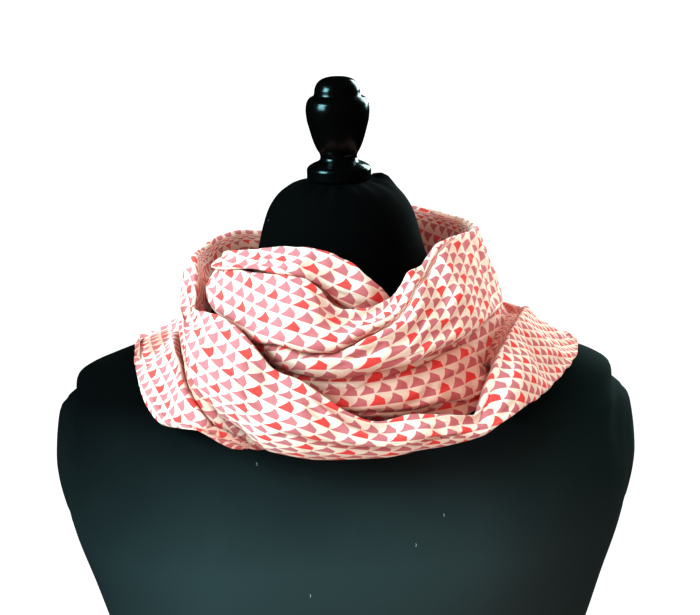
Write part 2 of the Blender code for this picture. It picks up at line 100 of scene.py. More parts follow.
# %% A socket that takes part in sums
class Sum:
    """A shader value. Sums on it add Math nodes to its tree."""

    def __init__(self, socket):
        self.socket = socket

    def math(self, operation, *others, clamp=False):
        node = self.socket.id_data.nodes.new("ShaderNodeMath")
        node.operation = operation
        node.use_clamp = clamp
        for socket, value in zip(node.inputs, (self, *others)):
            feed(socket, value)
        return Sum(node.outputs[0])

    def __add__(self, other):
        return self.math("ADD", other)

    def __sub__(self, other):
        return self.math("SUBTRACT", other)

    def __rsub__(self, other):
        return (self * -1).math("ADD", other)

    def __mul__(self, other):
        return self.math("MULTIPLY", other)

    def __truediv__(self, other):
        return self.math("DIVIDE", other)

    def __pow__(self, other):
        return self.math("POWER", other)

    __radd__ = __add__
    __rmul__ = __mul__

    def floor(self):
        return self.math("FLOOR")

    def wrapped(self, period):
        """The rest after whole periods are taken away, from 0 up, also below zero."""
        return self.math("FLOORED_MODULO", period)

    def clipped(self):
        return self.math("ADD", 0, clamp=True)

    def above_edge(self, edge, softness):
        """0 below the edge and 1 above it, over a soft step."""
        return ((self - edge) / softness + 0.5).clipped()


def feed(socket, value):
    """Gives an input a value, or a link where the value is another node's output."""
    if isinstance(value, Sum):
        value = value.socket
    if isinstance(value, bpy.types.NodeSocket):
        value.id_data.links.new(value, socket)
    elif isinstance(value, tuple):
        socket.default_value = (*value, 1)[: len(socket.default_value)]  # a colour is opaque
    else:
        socket.default_value = value


trial = bpy.data.node_groups.new("trial", "ShaderNodeTree")
place = Sum(trial.nodes.new("ShaderNodeValue").outputs[0])
last = (1 - place * 2).socket.node
print(f"1 - place * 2 adds {len(trial.nodes) - 1} nodes, and ends in {last.operation}")
bpy.data.node_groups.remove(trial)


# %% Trees, and a material as one of them
class Tree:
    """A tree of nodes under construction."""

    def __init__(self, tree):
        self.tree = tree

    def node(self, kind, values=None, settings=None, output=0):
        """Adds a node and returns one of its outputs."""
        made = self.tree.nodes.new(kind)
        for key, value in (settings or {}).items():
            setattr(made, key, value)
        for key, value in (values or {}).items():
            feed(made.inputs[key], value)
        return made.outputs[output]

    def part(self, vector, axis):
        """One of a vector's three numbers, ready for sums: axis 0, 1 or 2."""
        return Sum(self.node("ShaderNodeSeparateXYZ", {0: vector}, output=axis))

    def mix(self, share, first, second, blend="MIX"):
        """A colour between two, by share."""
        settings = {"data_type": "RGBA", "blend_type": blend}
        return self.node("ShaderNodeMix", {0: share, 6: first, 7: second}, settings, output=2)

    def noise(self, place, scale, detail):
        values = {"Vector": place, "Scale": scale, "Detail": detail}
        return Sum(self.node("ShaderNodeTexNoise", values, {"noise_dimensions": "3D"}))


class Finish(Tree):
    """A material under construction: one Principled shader and the nodes that feed it."""

    def __init__(self, name, colour, roughness, constants=None):
        self.material = bpy.data.materials.new(name)
        self.material.use_nodes = True
        self.material.diffuse_color = (*colour, 1)
        super().__init__(self.material.node_tree)
        self.inputs = self.tree.nodes["Principled BSDF"].inputs
        constants = {"Base Color": colour, "Roughness": roughness, **(constants or {})}
        for key, value in constants.items():
            feed(self.inputs[key], value)

    def here(self):
        """The place in the object's own coordinates, in metres."""
        return self.node("ShaderNodeTexCoord", output=3)

    def bump(self, height, strength, depth):
        """Relief too fine for the mesh: the light falls on it as if it were there."""
        values = {"Strength": strength, "Distance": depth, "Height": height}
        feed(self.inputs["Normal"], self.node("ShaderNodeBump", values))


def eye(red, green, blue):
    """A colour as the eye reads it, 0 to 255, in the linear light that shaders work in."""
    return tuple(
        c / 12.92 if c <= 0.04045 else ((c + 0.055) / 1.055) ** 2.4
        for c in (red / 255, green / 255, blue / 255)
    )


print("a middle grey of 128 holds", round(eye(128, 128, 128)[0], 3), "of white's light")

# %% [markdown]
# ## The scarf's sections
# Cloth that is wound round a neck could be modelled by hand, panel by panel. It is easier to
# keep true as a band swept through upright sections. Each row of the table is one section at an
# angle: a fold at its upper edge, a bulging face, a fold at its lower edge. Angles count from
# the front towards the left of the view, and one winding adds 360.

# %% The outer winding, in millimetres and degrees
def table(kind, *rows, shared=()):
    """Rows of numbers with their columns named. The rows may share their last columns."""
    return [kind(*row, *shared) for row in rows]


# Each row holds an angle, the radius and height of the upper edge and of the lower one, how far
# the face bulges between them, the radius of the fold at each, how far the cloth inside goes down
# and leans in from the upper fold, and how much of it is turned back under the lower one.
Section = namedtuple(
    "Section", "angle top_r top_z low_r low_z bulge top_roll low_roll inside lean under"
)
OUTER_WINDING = table(
    Section,
    # Out from beneath the front, over the left shoulder.
    (23, 111, 551, 130, 541, 0, 3, 3.5, 2, 0, 0),
    (25.5, 113, 552, 144, 542.5, 0, 3, 4, 3, 0, 0),
    (30, 113, 555, 150, 546.5, 0, 3, 4.5, 3, 0, 1),
    (38, 116, 564, 152.5, 552, 1, 4, 4, 4, 0, 2),
    (44, 117, 579, 154, 551.5, 4, 4, 4, 4, 0, 2),
    (52, 114, 594, 155, 551, 8, 4, 3.5, 4, 0, 1),
    (60, 110, 600, 153.5, 558, 8.5, 4, 3, 4, 0, 0),
    (69, 110, 606.5, 150.5, 572, 5, 3.5, 2.5, 0, 3, 0),
    (78, 111, 610, 149, 582, 0.5, 3, 2.5, 0, 4, 0),
    (86, 112, 610.5, 147.5, 587.5, -2, 3, 2.5, 0, 4, 0),
    (96, 111, 609.5, 147, 587.5, -2, 3, 2.5, 0, 4, 0),
    (104, 109.5, 607.5, 148, 584, 0, 3, 2.5, 0, 4, 0),
    (112, 108, 605, 149, 578.5, 2, 3, 2.5, 0, 4, 0),
    # Across the upper back.
    (130, 104, 602, 142, 565, 7, 5, 5, 8, 2, 12),
    (155, 103, 602.5, 126, 555, 8, 6, 7, 12, 2, 22),
    (180, 102, 602.5, 119, 552, 8, 6, 7, 12, 2, 17),
    (200, 106, 601.5, 124, 554, 8, 6, 7, 10, 4, 24),
    (218, 113.5, 602.5, 139, 560, 7, 5, 5, 6, 8, 33),
    (234, 120, 603.5, 153, 568, 5, 5, 3, 3, 9, 34),
    # Over the right shoulder and down to the chest.
    (250, 125.5, 603.5, 160, 574.5, 3, 5, 2.5, 0, 8, 14),
    (262, 129, 604.5, 164, 581, 1.5, 5, 2.5, 0, 8, 0),
    (272, 131, 608, 165, 581.5, 1, 5, 2.5, 0, 12, 0),
    (281, 133, 612, 165, 578.5, 1.5, 5, 2.5, 3, 18, 0),
    (289, 134, 611.5, 162, 574.5, 3, 5, 2.5, 6, 22, 0),
    (297, 135, 607.5, 157, 566, 5, 5, 2.5, 6, 25, 0),
    (303, 136, 600.5, 154.5, 561.5, 6, 5, 3, 6, 23, 1),
    (307, 137, 594, 153, 559, 6, 5, 3.5, 6, 3, 2),
    (311.4, 138, 585.5, 151.5, 555, 5, 4.5, 4, 6, 0, 3),
    (314.6, 138, 576.5, 150.5, 552.5, 4, 4.5, 4, 5, 0, 3),
    (317.6, 139, 566, 149.5, 549.5, 3, 4, 4, 4, 0, 2),
    # The low front edge of the cowl, rising to the left.
    (320.5, 139.5, 558, 148.5, 545.5, 2, 3.5, 4, 3, 2, 0),
    (325, 138.5, 559, 146.5, 543.5, 3, 3.5, 4.5, 4, 3, 1),
    (331, 138, 562, 145.5, 541.5, 4, 4, 7, 4, 3, 3),
    (340, 137, 564.5, 143.5, 539.3, 6, 5, 9, 6, 3, 6),
    (350, 134.5, 561, 142.5, 536, 7, 5, 10, 8, 2, 8),
    (359.5, 132, 568, 142.5, 536.2, 8, 5, 11, 8, 2, 8),
    (365.4, 131, 577.5, 143.5, 536.7, 9, 5, 11, 8, 2, 8),
    (373, 129.5, 588.5, 146, 539, 10, 5, 10, 8, 2, 5),
    (381.4, 128.5, 594.5, 146, 543.5, 11, 5, 7, 6, 2, 0),
    (388, 126.5, 608, 143, 553.5, 11, 4.5, 6, 2, 0, 2),
    (395, 124.5, 618.4, 141, 560, 10, 4.5, 6, 2, 0, 4),
    (405, 120, 624, 139, 577, 8, 4, 5, 4, 1, 5),
    (412, 118, 624, 132, 593, 5, 4, 4.5, 4, 1, 4),
    (421, 115, 621.3, 123.5, 606.5, 2, 4, 4, 6, 2, 3),
    (429, 112, 620.5, 119.5, 612, 1, 3.5, 3.5, 10, 4, 1),
)
print(f"{len(OUTER_WINDING)} sections in the outer winding")

# %% The inner winding goes on from there
INNER_WINDING = table(
    Section,
    # Gathered at the left, and up behind the neck.
    (438.6, 107, 627, 115, 614.5, 1, 4, 4, 16, 6, 1),
    (446, 106, 638.5, 112.5, 614, 2, 4, 4, 22, 8, 2),
    (458, 108, 648, 112.5, 612, 2, 4, 4, 24, 8, 3),
    (470, 110, 648, 114, 608, 3, 4, 5, 24, 8, 4),
    (482, 110, 652.5, 115, 604, 4, 4, 5, 24, 8, 4),
    (494, 109, 653.5, 116, 602, 5, 4, 5, 24, 8, 4),
    (505, 105.5, 651.5, 116, 601, 6, 4, 5, 26, 8, 4),
    (520, 100, 653, 115, 600.5, 7, 4, 5, 28, 8, 4),
    (540, 97, 659, 114, 601, 8, 4, 5, 30, 8, 4),
    (560, 95, 665.5, 112.5, 603, 8, 4, 5, 32, 9, 4),
    (575, 95, 669, 111.5, 605, 7, 4, 5, 34, 9, 4),
    (592, 95, 667, 111, 605.5, 6, 4, 5, 36, 10, 4),
    (607, 96, 666, 111, 604.5, 5, 4, 5, 36, 10, 4),
    # Folded forward at the right, and down across the front of the neck.
    (622, 97.5, 665.5, 111, 606, 4, 4, 5, 34, 10, 3),
    (636, 98.5, 666.5, 111.5, 610, 2, 4, 5, 28, 10, 3),
    (650, 98, 668, 114.5, 612, 2, 4, 5, 20, 8, 5),
    (663, 97, 668, 118, 610, 4, 4, 6, 14, 5, 6),
    (675.5, 96.5, 665.5, 121, 604.5, 6, 4, 6, 10, 3, 6),
    (681, 96.5, 658.5, 121, 603, 7, 4, 6, 10, 3, 6),
    (685, 97, 653, 121, 600, 7, 4, 6, 10, 3, 6),
    (691, 97.5, 651.5, 121, 597, 7, 4, 6, 10, 3, 6),
    (695, 99, 643.5, 120.8, 594.5, 7, 4, 6, 10, 3, 6),
    (701, 99.5, 634.5, 120, 592, 8, 4, 6, 10, 3, 6),
    (711, 99.5, 629.5, 119.7, 589.7, 9, 4, 6, 10, 3, 6),
    (719, 99.5, 629, 118.5, 586.7, 9, 4, 6, 10, 2, 6),
    (724, 98.5, 632.5, 118, 586, 10, 4, 6, 10, 2, 6),
    (728.5, 97, 642, 118, 586.8, 11, 4, 6, 10, 2, 6),
    (736, 97.5, 650, 116, 588.5, 11, 4, 6, 12, 3, 5),
    (748.6, 99, 651.5, 108.7, 592, 8.8, 4, 5, 12, 4, 4),
    (765.7, 99, 651.6, 99, 598, 6, 4, 4, 10, 4, 2),
    (784, 96, 649.2, 95.5, 609, 4, 4, 3, 8, 3, 0),
    (797, 89.5, 643.2, 90.5, 617, 2, 3.5, 2.5, 6, 2, 0),
    (812, 85.5, 636, 86, 621, 1, 3, 2.5, 3, 1, 0),
    (826, 84, 628, 85, 618, 0, 2.5, 2.5, 1, 1, 0),
    (842, 83, 619, 84, 612, 0, 2, 2, 1, 0, 0),
)
WINDING = OUTER_WINDING + INNER_WINDING
print(f"{len(WINDING)} sections, over {WINDING[-1].angle - WINDING[0].angle:.0f} degrees")

# %% The lip that slipped up, and the layer in the shade of the cowl
UPPER_LIP = table(
    Section,
    (-26, 80, 628, 82, 615, 1, 3, 2.5, 2, 1, 0),
    (-20, 82.5, 637, 84, 619, 1, 3, 2.5, 6, 1, 0),
    (-13.4, 82.5, 646.5, 84.5, 621, 2, 3, 2.5, 8, 2, 0),
    (-4.5, 78.3, 656.5, 85, 624, 3, 3.5, 2.5, 12, 3, 0),
    (2.8, 76.5, 661.2, 85, 631, 3, 3.5, 2.5, 14, 4, 0),
    (10.5, 75.5, 664.5, 85.5, 642, 3, 3.5, 2.5, 16, 4, 0),
    (18.4, 75.5, 666.2, 90.5, 647.5, 3, 3.5, 2.5, 18, 4, 0),
    (26.6, 76, 666.2, 95, 650.2, 3, 3.5, 2.5, 18, 4, 0),
    (37.7, 78, 665, 97, 653.2, 2.5, 3.5, 2.5, 18, 4, 0),
    (46, 80, 663, 98, 652.2, 2, 3.5, 2.5, 16, 4, 0),
    (55, 84, 661.5, 98.5, 649.2, 2, 3, 2.5, 10, 4, 0),
    (64, 87, 659, 97.5, 648, 1.5, 2.5, 2.5, 4, 2, 0),
    (74, 85.5, 655.5, 92, 644.5, 1, 2.5, 2.5, 1, 1, 0),
    (84, 82, 650, 86, 642, 0.5, 2.5, 2.5, 1, 1, 0),
    (94, 81, 639, 85, 632, 0, 2, 2, 1, 1, 0),
    (104, 82, 624, 85, 618, 0, 2, 2, 1, 0, 0),
)
INNER_FRONT = table(
    Section,
    (298, 112, 584, 124, 570, 0, 2.5, 2.5, 2, 0, 0),
    (303, 116, 586, 127, 568, 0, 2.5, 2.5, 2, 0, 0),
    (308, 117.5, 588, 128.5, 565.5, 0, 2.5, 2.5, 2, 0, 0),
    (309.5, 117.5, 592, 129.5, 562, 0, 2.5, 2.5, 2, 0, 0),
    (312.5, 117.5, 598, 130, 558, 0, 3, 2.5, 4, 0, 0),
    (316, 117.5, 601, 127, 553.5, 0, 3.5, 3, 4, 0, 1),
    (320, 117.5, 599, 126, 551, 1, 3.5, 3.5, 4, 0, 2),
    (325, 116.5, 596, 121, 552, 3, 3.5, 4, 4, 0, 3),
    (330, 116, 592.5, 119, 553.5, 5, 3.5, 4, 4, 0, 3),
    (337, 115, 588.5, 118, 554.5, 5, 3.5, 4, 4, 0, 3),
    (350, 112.5, 584, 116, 555, 5, 3.5, 4, 4, 0, 3),
    (360, 110.5, 580.5, 115, 556, 4, 3.5, 4, 4, 0, 3),
    (372, 108, 581.5, 112, 562, 3, 3.5, 4, 4, 0, 3),
)
print(f"{len(UPPER_LIP)} sections in the lip and {len(INNER_FRONT)} in the inner front")

# %% [markdown]
# ## Hidden strips
# A flattened tube has a second layer beneath the one that shows. It is left out where nothing
# can be seen of it. In the gaps between the stretches a dark hole would show instead, so four
# plain strips of the same cloth lie there. Their sections share all that isn't in the rows.

# %% Hidden strips: an angle, and the radius and height of the upper edge and the lower one
UNDER_LIP = table(
    Section,
    (-12, 80, 640, 84, 618),
    (4, 79, 645, 84, 620),
    (18, 80, 652, 86, 622),
    (40, 82, 656, 88, 626),
    (70, 84, 652, 88, 626),
    (104, 89, 634, 96, 608),
    shared=(1, 3, 2.5, 2, 1, 0),
)
UNDER_FRONT = table(
    Section,
    (284, 114, 616, 122, 562),
    (296, 114, 616, 122, 560),
    (310, 113, 615, 120, 556),
    (325, 110, 612, 116, 556),
    (345, 107, 606, 111, 560),
    (385, 104, 604, 108, 562),
    shared=(1, 3, 3, 2, 1, 0),
)
UNDER_COLLAR = table(
    Section,
    (58, 100, 604, 107, 590),
    (68, 103, 614, 110, 599),
    (80, 104, 622, 111, 602),
    (112, 103, 620, 111, 600),
    (140, 98, 616, 106, 594),
    (180, 96, 614, 104, 592),
    (225, 106, 614, 113, 594),
    (284, 112, 616, 119, 590),
    shared=(1, 3, 3, 2, 1, 0),
)
UNDER_BACK = table(
    Section,
    (128, 104, 598, 110, 570),
    (145, 96, 598, 96, 566),
    (165, 94, 598, 86, 563),
    (185, 94, 598, 84, 562),
    (205, 98, 598, 88, 564),
    (220, 102, 598, 96, 566),
    (234, 106, 597, 112, 570),
    (254, 110, 595, 140, 578),
    shared=(0, 3, 2.5, 2, 1, 0),
)
print("hidden strips of", *map(len, (UNDER_LIP, UNDER_FRONT, UNDER_COLLAR, UNDER_BACK)), "sections")

# %% [markdown]
# ## From sections to a surface
# Between the rows of a table each size follows a smooth curve that never overshoots, so a fold
# doesn't swell between two sections. Each section is then a line of control points with a
# rounded curve through them. Many angles and many places across give a fine grid of points.

# %% Curves through the tables
def eased(at, knots, values):
    """A smooth curve through values at knots, read at a number or array, that never overshoots."""
    knots = np.asarray(knots, float)
    values = np.asarray(values, float)
    span = np.diff(knots)
    slope = np.diff(values) / span
    before, after = slope[:-1], slope[1:]
    tangent = np.concatenate([slope[:1], np.zeros(len(before)), slope[-1:]])
    climbing = before * after > 0
    tangent[1:-1][climbing] = (2 * before * after)[climbing] / (before + after)[climbing]
    i = np.clip(np.searchsorted(knots, at, side="right") - 1, 0, len(span) - 1)
    t = (at - knots[i]) / span[i]
    return (
        (2 * t**3 - 3 * t**2 + 1) * values[i]
        + (t**3 - 2 * t**2 + t) * span[i] * tangent[i]
        + (3 * t**2 - 2 * t**3) * values[i + 1]
        + (t**3 - t**2) * span[i] * tangent[i + 1]
    )


def columns(rows, key, at):
    """A table's columns read at the given angles or heights, as arrays by name."""
    keys = [getattr(row, key) for row in rows]
    return {
        name: eased(at, keys, [getattr(row, name) for row in rows])
        for name in rows[0]._fields
        if name != key
    }


def columns_held(rows, angles):
    """A table's columns by angle, which keep their first and last values beyond its ends."""
    return columns(rows, "angle", np.clip(angles, rows[0].angle, rows[-1].angle))


print("a curve through 0, 1 and 0, read half way:", float(eased(0.5, (0, 1, 2), (0, 1, 0))))


# %% A rounded curve through control points
def running_sum(steps):
    """The sum of the steps so far along the last axis, from 0 on."""
    return np.cumsum(np.insert(steps, 0, 0, axis=-1), axis=-1)


def curve_through(points, at):
    """A centripetal curve through points[:, k], read at fractions of k: arrays of (row, at, 2)."""
    first = 2 * points[:, :1] - points[:, 1:2]
    last = 2 * points[:, -1:] - points[:, -2:-1]
    points = np.concatenate([first, points, last], axis=1)
    reach = np.sqrt(np.linalg.norm(np.diff(points, axis=1), axis=2)) + 1e-9
    knots = running_sum(reach)
    i = np.clip(np.floor(at).astype(int), 0, points.shape[1] - 4)
    p = [points[:, i + k] for k in range(4)]
    t = [knots[:, i + k][..., None] for k in range(4)]
    now = t[1] + (t[2] - t[1]) * (at - i)[None, :, None]

    def between(a, b, start, end):
        return ((end - now) * a + (now - start) * b) / (end - start)

    a1 = between(p[0], p[1], t[0], t[1])
    a2 = between(p[1], p[2], t[1], t[2])
    a3 = between(p[2], p[3], t[2], t[3])
    b1 = between(a1, a2, t[0], t[2])
    b2 = between(a2, a3, t[1], t[3])
    return between(b1, b2, t[1], t[2])


corner = np.array([[(0.0, 0.0), (1.0, 0.0), (1.0, 1.0)]])
print("past a square corner it runs through", curve_through(corner, np.array([0.5]))[0, 0].round(2))

# %% Outlines of the sections
FACE_TOP, FACE_LOW = 3, 9  # the face's places along an outline, counted in control points
TURN_UP = 0.35  # how far the lower fold stands up inside, as a share of its roll
UNDER_IN, UNDER_UP = 0.85, 0.35  # where each millimetre of turned-back cloth goes


def outlines(c, across):
    """Each section's outline as (radius, height), from the inside wall's end to the lower one's."""
    top_r, top_z, low_r, low_z = c["top_r"], c["top_z"], c["low_r"], c["low_z"]
    top_roll, low_roll = c["top_roll"], c["low_roll"]
    face_r = low_r - top_r
    face_z = (low_z + low_roll) - (top_z - top_roll)
    length = np.hypot(face_r, face_z)
    out_r, out_z = -face_z / length, face_r / length
    control = [
        (top_r - 2 * top_roll - c["lean"], top_z - top_roll - c["inside"]),
        (top_r - 2 * top_roll - c["lean"] / 2, top_z - top_roll - c["inside"] / 2),
        (top_r - 2 * top_roll, top_z - top_roll),
        (top_r - top_roll, top_z),
        (top_r, top_z - top_roll),
    ]
    for share in (0.25, 0.5, 0.75):
        swell = 4 * share * (1 - share) * c["bulge"]
        face_point_r = top_r + share * face_r + swell * out_r
        face_point_z = top_z - top_roll + share * face_z + swell * out_z
        control.append((face_point_r, face_point_z))
    turned_r, turned_z = low_r - 2 * low_roll, low_z + TURN_UP * low_roll
    control += [
        (low_r, low_z + low_roll),
        (low_r - low_roll, low_z),
        (turned_r, turned_z),
        (turned_r - 1 - UNDER_IN * c["under"], turned_z + 0.2 + UNDER_UP * c["under"]),
    ]
    return curve_through(np.stack([np.stack(point, axis=1) for point in control], axis=1), across)


print("the face runs from control point", FACE_TOP, "to", FACE_LOW)

# %% Sections set upright round the neck
ANGLE_STEP = 2.0  # degrees from one section to the next


def placed(angles, outline):
    """(radius, height) outlines set upright round the neck at their angles."""
    turn = np.radians(angles)[:, None]
    radius, height = outline[..., 0], outline[..., 1]
    return np.stack([-radius * np.sin(turn), -radius * np.cos(turn), height], axis=2)


def places_across(counts):
    """Places along an outline: inside wall, upper fold, face, lower fold and turned-back cloth."""
    stops = (0, 2, 4, 8, 10, 11)
    runs = [
        np.linspace(start, stop, count, endpoint=False)
        for start, stop, count in zip(stops, stops[1:], counts)
    ]
    return np.concatenate([*runs, [stops[-1]]])


ACROSS = places_across((6, 8, 34, 8, 3))
# Where each place across lies on the face: 0 at its upper edge and 1 at its lower one.
FACE_SHARE = (ACROSS - FACE_TOP) / (FACE_LOW - FACE_TOP)
ON_FACE = (FACE_SHARE >= 0) & (FACE_SHARE <= 1)
MIDDLE = int(np.argmin(np.abs(FACE_SHARE - 0.5)))
print(f"{len(ACROSS)} points across the band, {ON_FACE.sum()} of them on its face")

# %% [markdown]
# ## The form, as something to rest on
# The cloth must stay clear of the dress form, so a smooth body comes before it. The body is a
# stack of ovals, as it was in CAD, with many more points. Two things are pressed into it that
# CAD leaves out: the edges of the covered caps where arms would be, and the jersey's gathers.

# %% Dress form: half width, and depth before and behind the neck's axis, at each height
Ring = namedtuple("Ring", "height half_width front back squareness")
TORSO = table(
    Ring,
    (0, 163, 108, 112, 2.3),
    (60, 168, 114, 119, 2.3),
    (150, 150, 103, 104, 2.3),
    (240, 124, 92, 84, 2.2),
    (330, 147, 112, 92, 2.3),
    (390, 169, 124, 98, 2.4),
    (425, 180, 127, 101, 2.5),
    (465, 193, 121, 102, 2.7),
    (512, 203, 107, 100, 2.8),
    (545, 200, 92, 95, 2.6),
    (559, 192, 83, 86, 2.4),
    (567, 187, 77, 80, 2.25),
    (573, 178, 73, 76, 2.15),
    (579, 164, 70, 72, 2.05),
    (587, 143, 66, 69, 2.0),
    (597, 118, 62, 65.5, 2.0),
    (608, 96, 59.5, 62.5, 2.0),
    (620, 79, 58, 61, 2.0),
    (634, 66, 56.5, 59, 2.0),
    (650, 58.5, 55, 56.5, 2.0),
    (668, 54, 52, 53, 2.0),
    (680, 50, 48, 49, 2.0),
    (689, 44.5, 43, 44, 2.0),
    (695, 38, 37, 37.5, 2.0),
    (698.6, 30, 29.5, 29.5, 2.0),
    (700, 24, 24, 24, 2.0),
)
print(f"{len(TORSO)} rings, from {TORSO[0].height:.0f} to {TORSO[-1].height:.0f} mm high")

# %% Rings and points between them
TORSO_SIDES = 144
TORSO_STEP = 2.5  # most millimetres between two rings


def torso_points(heights, sides):
    """Rings of the form at the given heights, each an oval that is deeper behind or before."""
    c = columns(TORSO, "height", heights)
    turn = np.linspace(0, 2 * math.pi, sides, endpoint=False)[None, :]
    power = 2 / c["squareness"][:, None]
    across, forward = np.sin(turn), np.cos(turn)
    x = -np.sign(across) * np.abs(across) ** power * c["half_width"][:, None]
    depth = np.where(forward > 0, c["front"][:, None], c["back"][:, None])
    y = -np.sign(forward) * np.abs(forward) ** power * depth
    z = np.repeat(heights[:, None], sides, axis=1)
    return np.stack([x, y, z], axis=2)


def torso_heights():
    """The table's heights, with more set evenly between them where they lie far apart."""
    heights = [ring.height for ring in TORSO]
    filled = []
    for low, high in zip(heights, heights[1:]):
        count = max(2, math.ceil((high - low) / TORSO_STEP))
        filled.extend(np.linspace(low, high, count, endpoint=False))
    return np.array([*filled, heights[-1]])


form_heights = torso_heights()
print(f"form: {len(form_heights)} rings of {TORSO_SIDES} points")

# %% Arm caps and gathers, in millimetres
# The arms end in covered caps, ovals on the form's sides. Each cap's edge shows as a line, and
# above it the form steps in. Places are counted in ovals: 1 is the cap's edge.
CAP_HEIGHT, CAP_HALF_HIGH, CAP_HALF_DEEP = 505, 43, 48
CAP_FROM, CAP_GROWS = 150, 20  # how far out the marks begin, and over how much they grow
SEAM_DEEP, SEAM_WIDE = 1.6, 0.05
STEP_DEEP, STEP_PLACE, STEP_WIDE = 5.5, 1.2, 0.16
STEP_GROWS = 40  # above the cap's middle
# The jersey is gathered under the knob, with one fold that stands up beside it.
GATHERS, GATHER_HIGH = 17, 0.45
GATHERS_FROM, GATHERS_GROW = 676, 22
KNOB_HOLE = 23  # radius inside which the jersey lies flat
FOLD_AT = math.radians(262)  # counted as the scarf's angles are
FOLD_HIGH, FOLD_WIDE = 5.0, 0.24  # and its width, in radians
FOLD_TOP, FOLD_REACH = 698, 3.0


def bell(away, width):
    """1 in the middle, and less to both sides."""
    return np.exp(-((away / width) ** 2))


def finished_form(grid):
    """The form's points with the edges of its arm caps, and the gathers under the knob."""
    x, y, z = grid[..., 0], grid[..., 1], grid[..., 2]
    from_cap = np.hypot(y / CAP_HALF_DEEP, (z - CAP_HEIGHT) / CAP_HALF_HIGH)
    side = np.clip((np.abs(x) - CAP_FROM) / CAP_GROWS, 0, 1)
    seam = SEAM_DEEP * bell(from_cap - 1, SEAM_WIDE)
    above_cap = np.clip((z - CAP_HEIGHT) / STEP_GROWS, 0, 1)
    step = STEP_DEEP * above_cap * bell(from_cap - STEP_PLACE, STEP_WIDE)
    dented = x - np.sign(x) * side * (seam + step)

    turn = np.arctan2(-x, -y)
    near_knob = np.clip((z - GATHERS_FROM) / GATHERS_GROW, 0, 1) ** 2
    # The gathers are uneven, both in height and in their places round the neck.
    uneven = 1 + 0.5 * np.sin(3 * turn + 1)
    wave = np.sin(GATHERS * turn + 0.8 * np.sin(2 * turn))
    apart = (turn - FOLD_AT + math.pi) % (2 * math.pi) - math.pi
    stands = FOLD_HIGH * bell(apart, FOLD_WIDE) * bell(z - FOLD_TOP, FOLD_REACH)
    lift = GATHER_HIGH * near_knob * uneven * wave + stands
    return np.stack([dented, y, z + (np.hypot(x, y) > KNOB_HOLE) * lift], axis=2)


form_grid = finished_form(torso_points(form_heights, TORSO_SIDES))
print(f"the arm caps' edges lie {SEAM_DEEP} mm deep, and {GATHERS} gathers meet the knob")


# %% The form's mesh
def object_from(name, points, faces, finish=None):
    """A smooth-shaded object made of points in metres and faces of their numbers."""
    mesh = bpy.data.meshes.new(name)
    mesh.from_pydata(points, [], faces)
    mesh.shade_smooth()
    if finish:
        mesh.materials.append(finish)
    return in_scene(name, mesh)


def ring_faces(rings, sides):
    """Quads between stacked rings of points, facing outwards, then a cap at each end."""
    faces = []
    for i in range(rings - 1):
        for k in range(sides):
            after = (k + 1) % sides
            low, high = i * sides, (i + 1) * sides
            faces.append((low + after, low + k, high + k, high + after))
    faces.append(tuple(range(sides)))
    faces.append(tuple((rings - 1) * sides + k for k in reversed(range(sides))))
    return faces


dress_form = object_from(
    "dress_form", form_grid.reshape(-1, 3) * MM, ring_faces(len(form_heights), TORSO_SIDES)
)
form_tree = BVHTree.FromObject(dress_form, bpy.context.evaluated_depsgraph_get())
print(f"dress_form: {len(dress_form.data.polygons)} faces")

# %% [markdown]
# ## Folds
# A fold is drawn as a stroke on the cloth: it runs from one place to another, and it lifts or
# sinks the face along the way, most in its middle. A trough has a negative height. A pleat is
# more than a stroke. Its line wanders over the face, the cloth above it laps over a narrow
# trough, and the cloth below lies further back. It also swallows cloth, which the print shows.

# %% Strokes that lift and sink the cloth
# A place is an angle and a share of the face. Heights and widths are in millimetres.
Fold = namedtuple("Fold", "angle_1 share_1 angle_2 share_2 height width")
WINDING_FOLDS = table(
    Fold,
    # left shoulder, upper back
    (39, 0.54, 26, 0.76, -5.0, 4.5),
    (108, 0.50, 62, 0.70, -1.2, 7.0),
    (94, 0.74, 50, 0.84, 1.8, 6.0),
    (112, 0.34, 205, 0.44, -4.5, 8.0),
    (128, 0.56, 196, 0.62, 3.0, 7.0),
    (150, 0.76, 238, 0.66, -4.0, 7.0),
    (184, 0.24, 250, 0.34, 3.0, 8.0),
    # right shoulder, low front edge
    (240, 0.62, 300, 0.74, -2.5, 6.0),
    (262, 0.10, 276, 0.08, -3.0, 3.0),
    (258, 0.04, 298, 0.16, 1.5, 5.0),
    (380, 0.80, 336, 0.80, -2.5, 5.0),
    (412, 0.52, 368, 0.60, -2.5, 7.0),
    # behind the neck
    (462, 0.38, 556, 0.50, -4.0, 8.0),
    (476, 0.66, 540, 0.74, 3.0, 7.0),
    (530, 0.80, 628, 0.66, -3.5, 7.0),
    (562, 0.30, 640, 0.42, -2.5, 7.0),
    (446, 0.30, 474, 0.44, 2.0, 5.0),
    # across the front, beside the pleat
    (746, 0.48, 716, 0.36, 1.5, 8.0),
    (662, 0.42, 706, 0.66, -1.8, 5.0),
    (674, 0.66, 712, 0.84, -1.5, 5.0),
    (676, 0.10, 700, 0.16, -1.5, 3.5),
    (770, 0.22, 744, 0.28, -1.2, 4.0),
)
LIP_FOLDS = [Fold(20, 0.72, 62, 0.62, -1.5, 3.0)]
INNER_FOLDS = table(
    Fold,
    (312, 0.45, 352, 0.62, -2.0, 5.0),
    (316, 0.22, 366, 0.30, 1.5, 6.0),
)
print(f"{len(WINDING_FOLDS)} strokes on the windings")

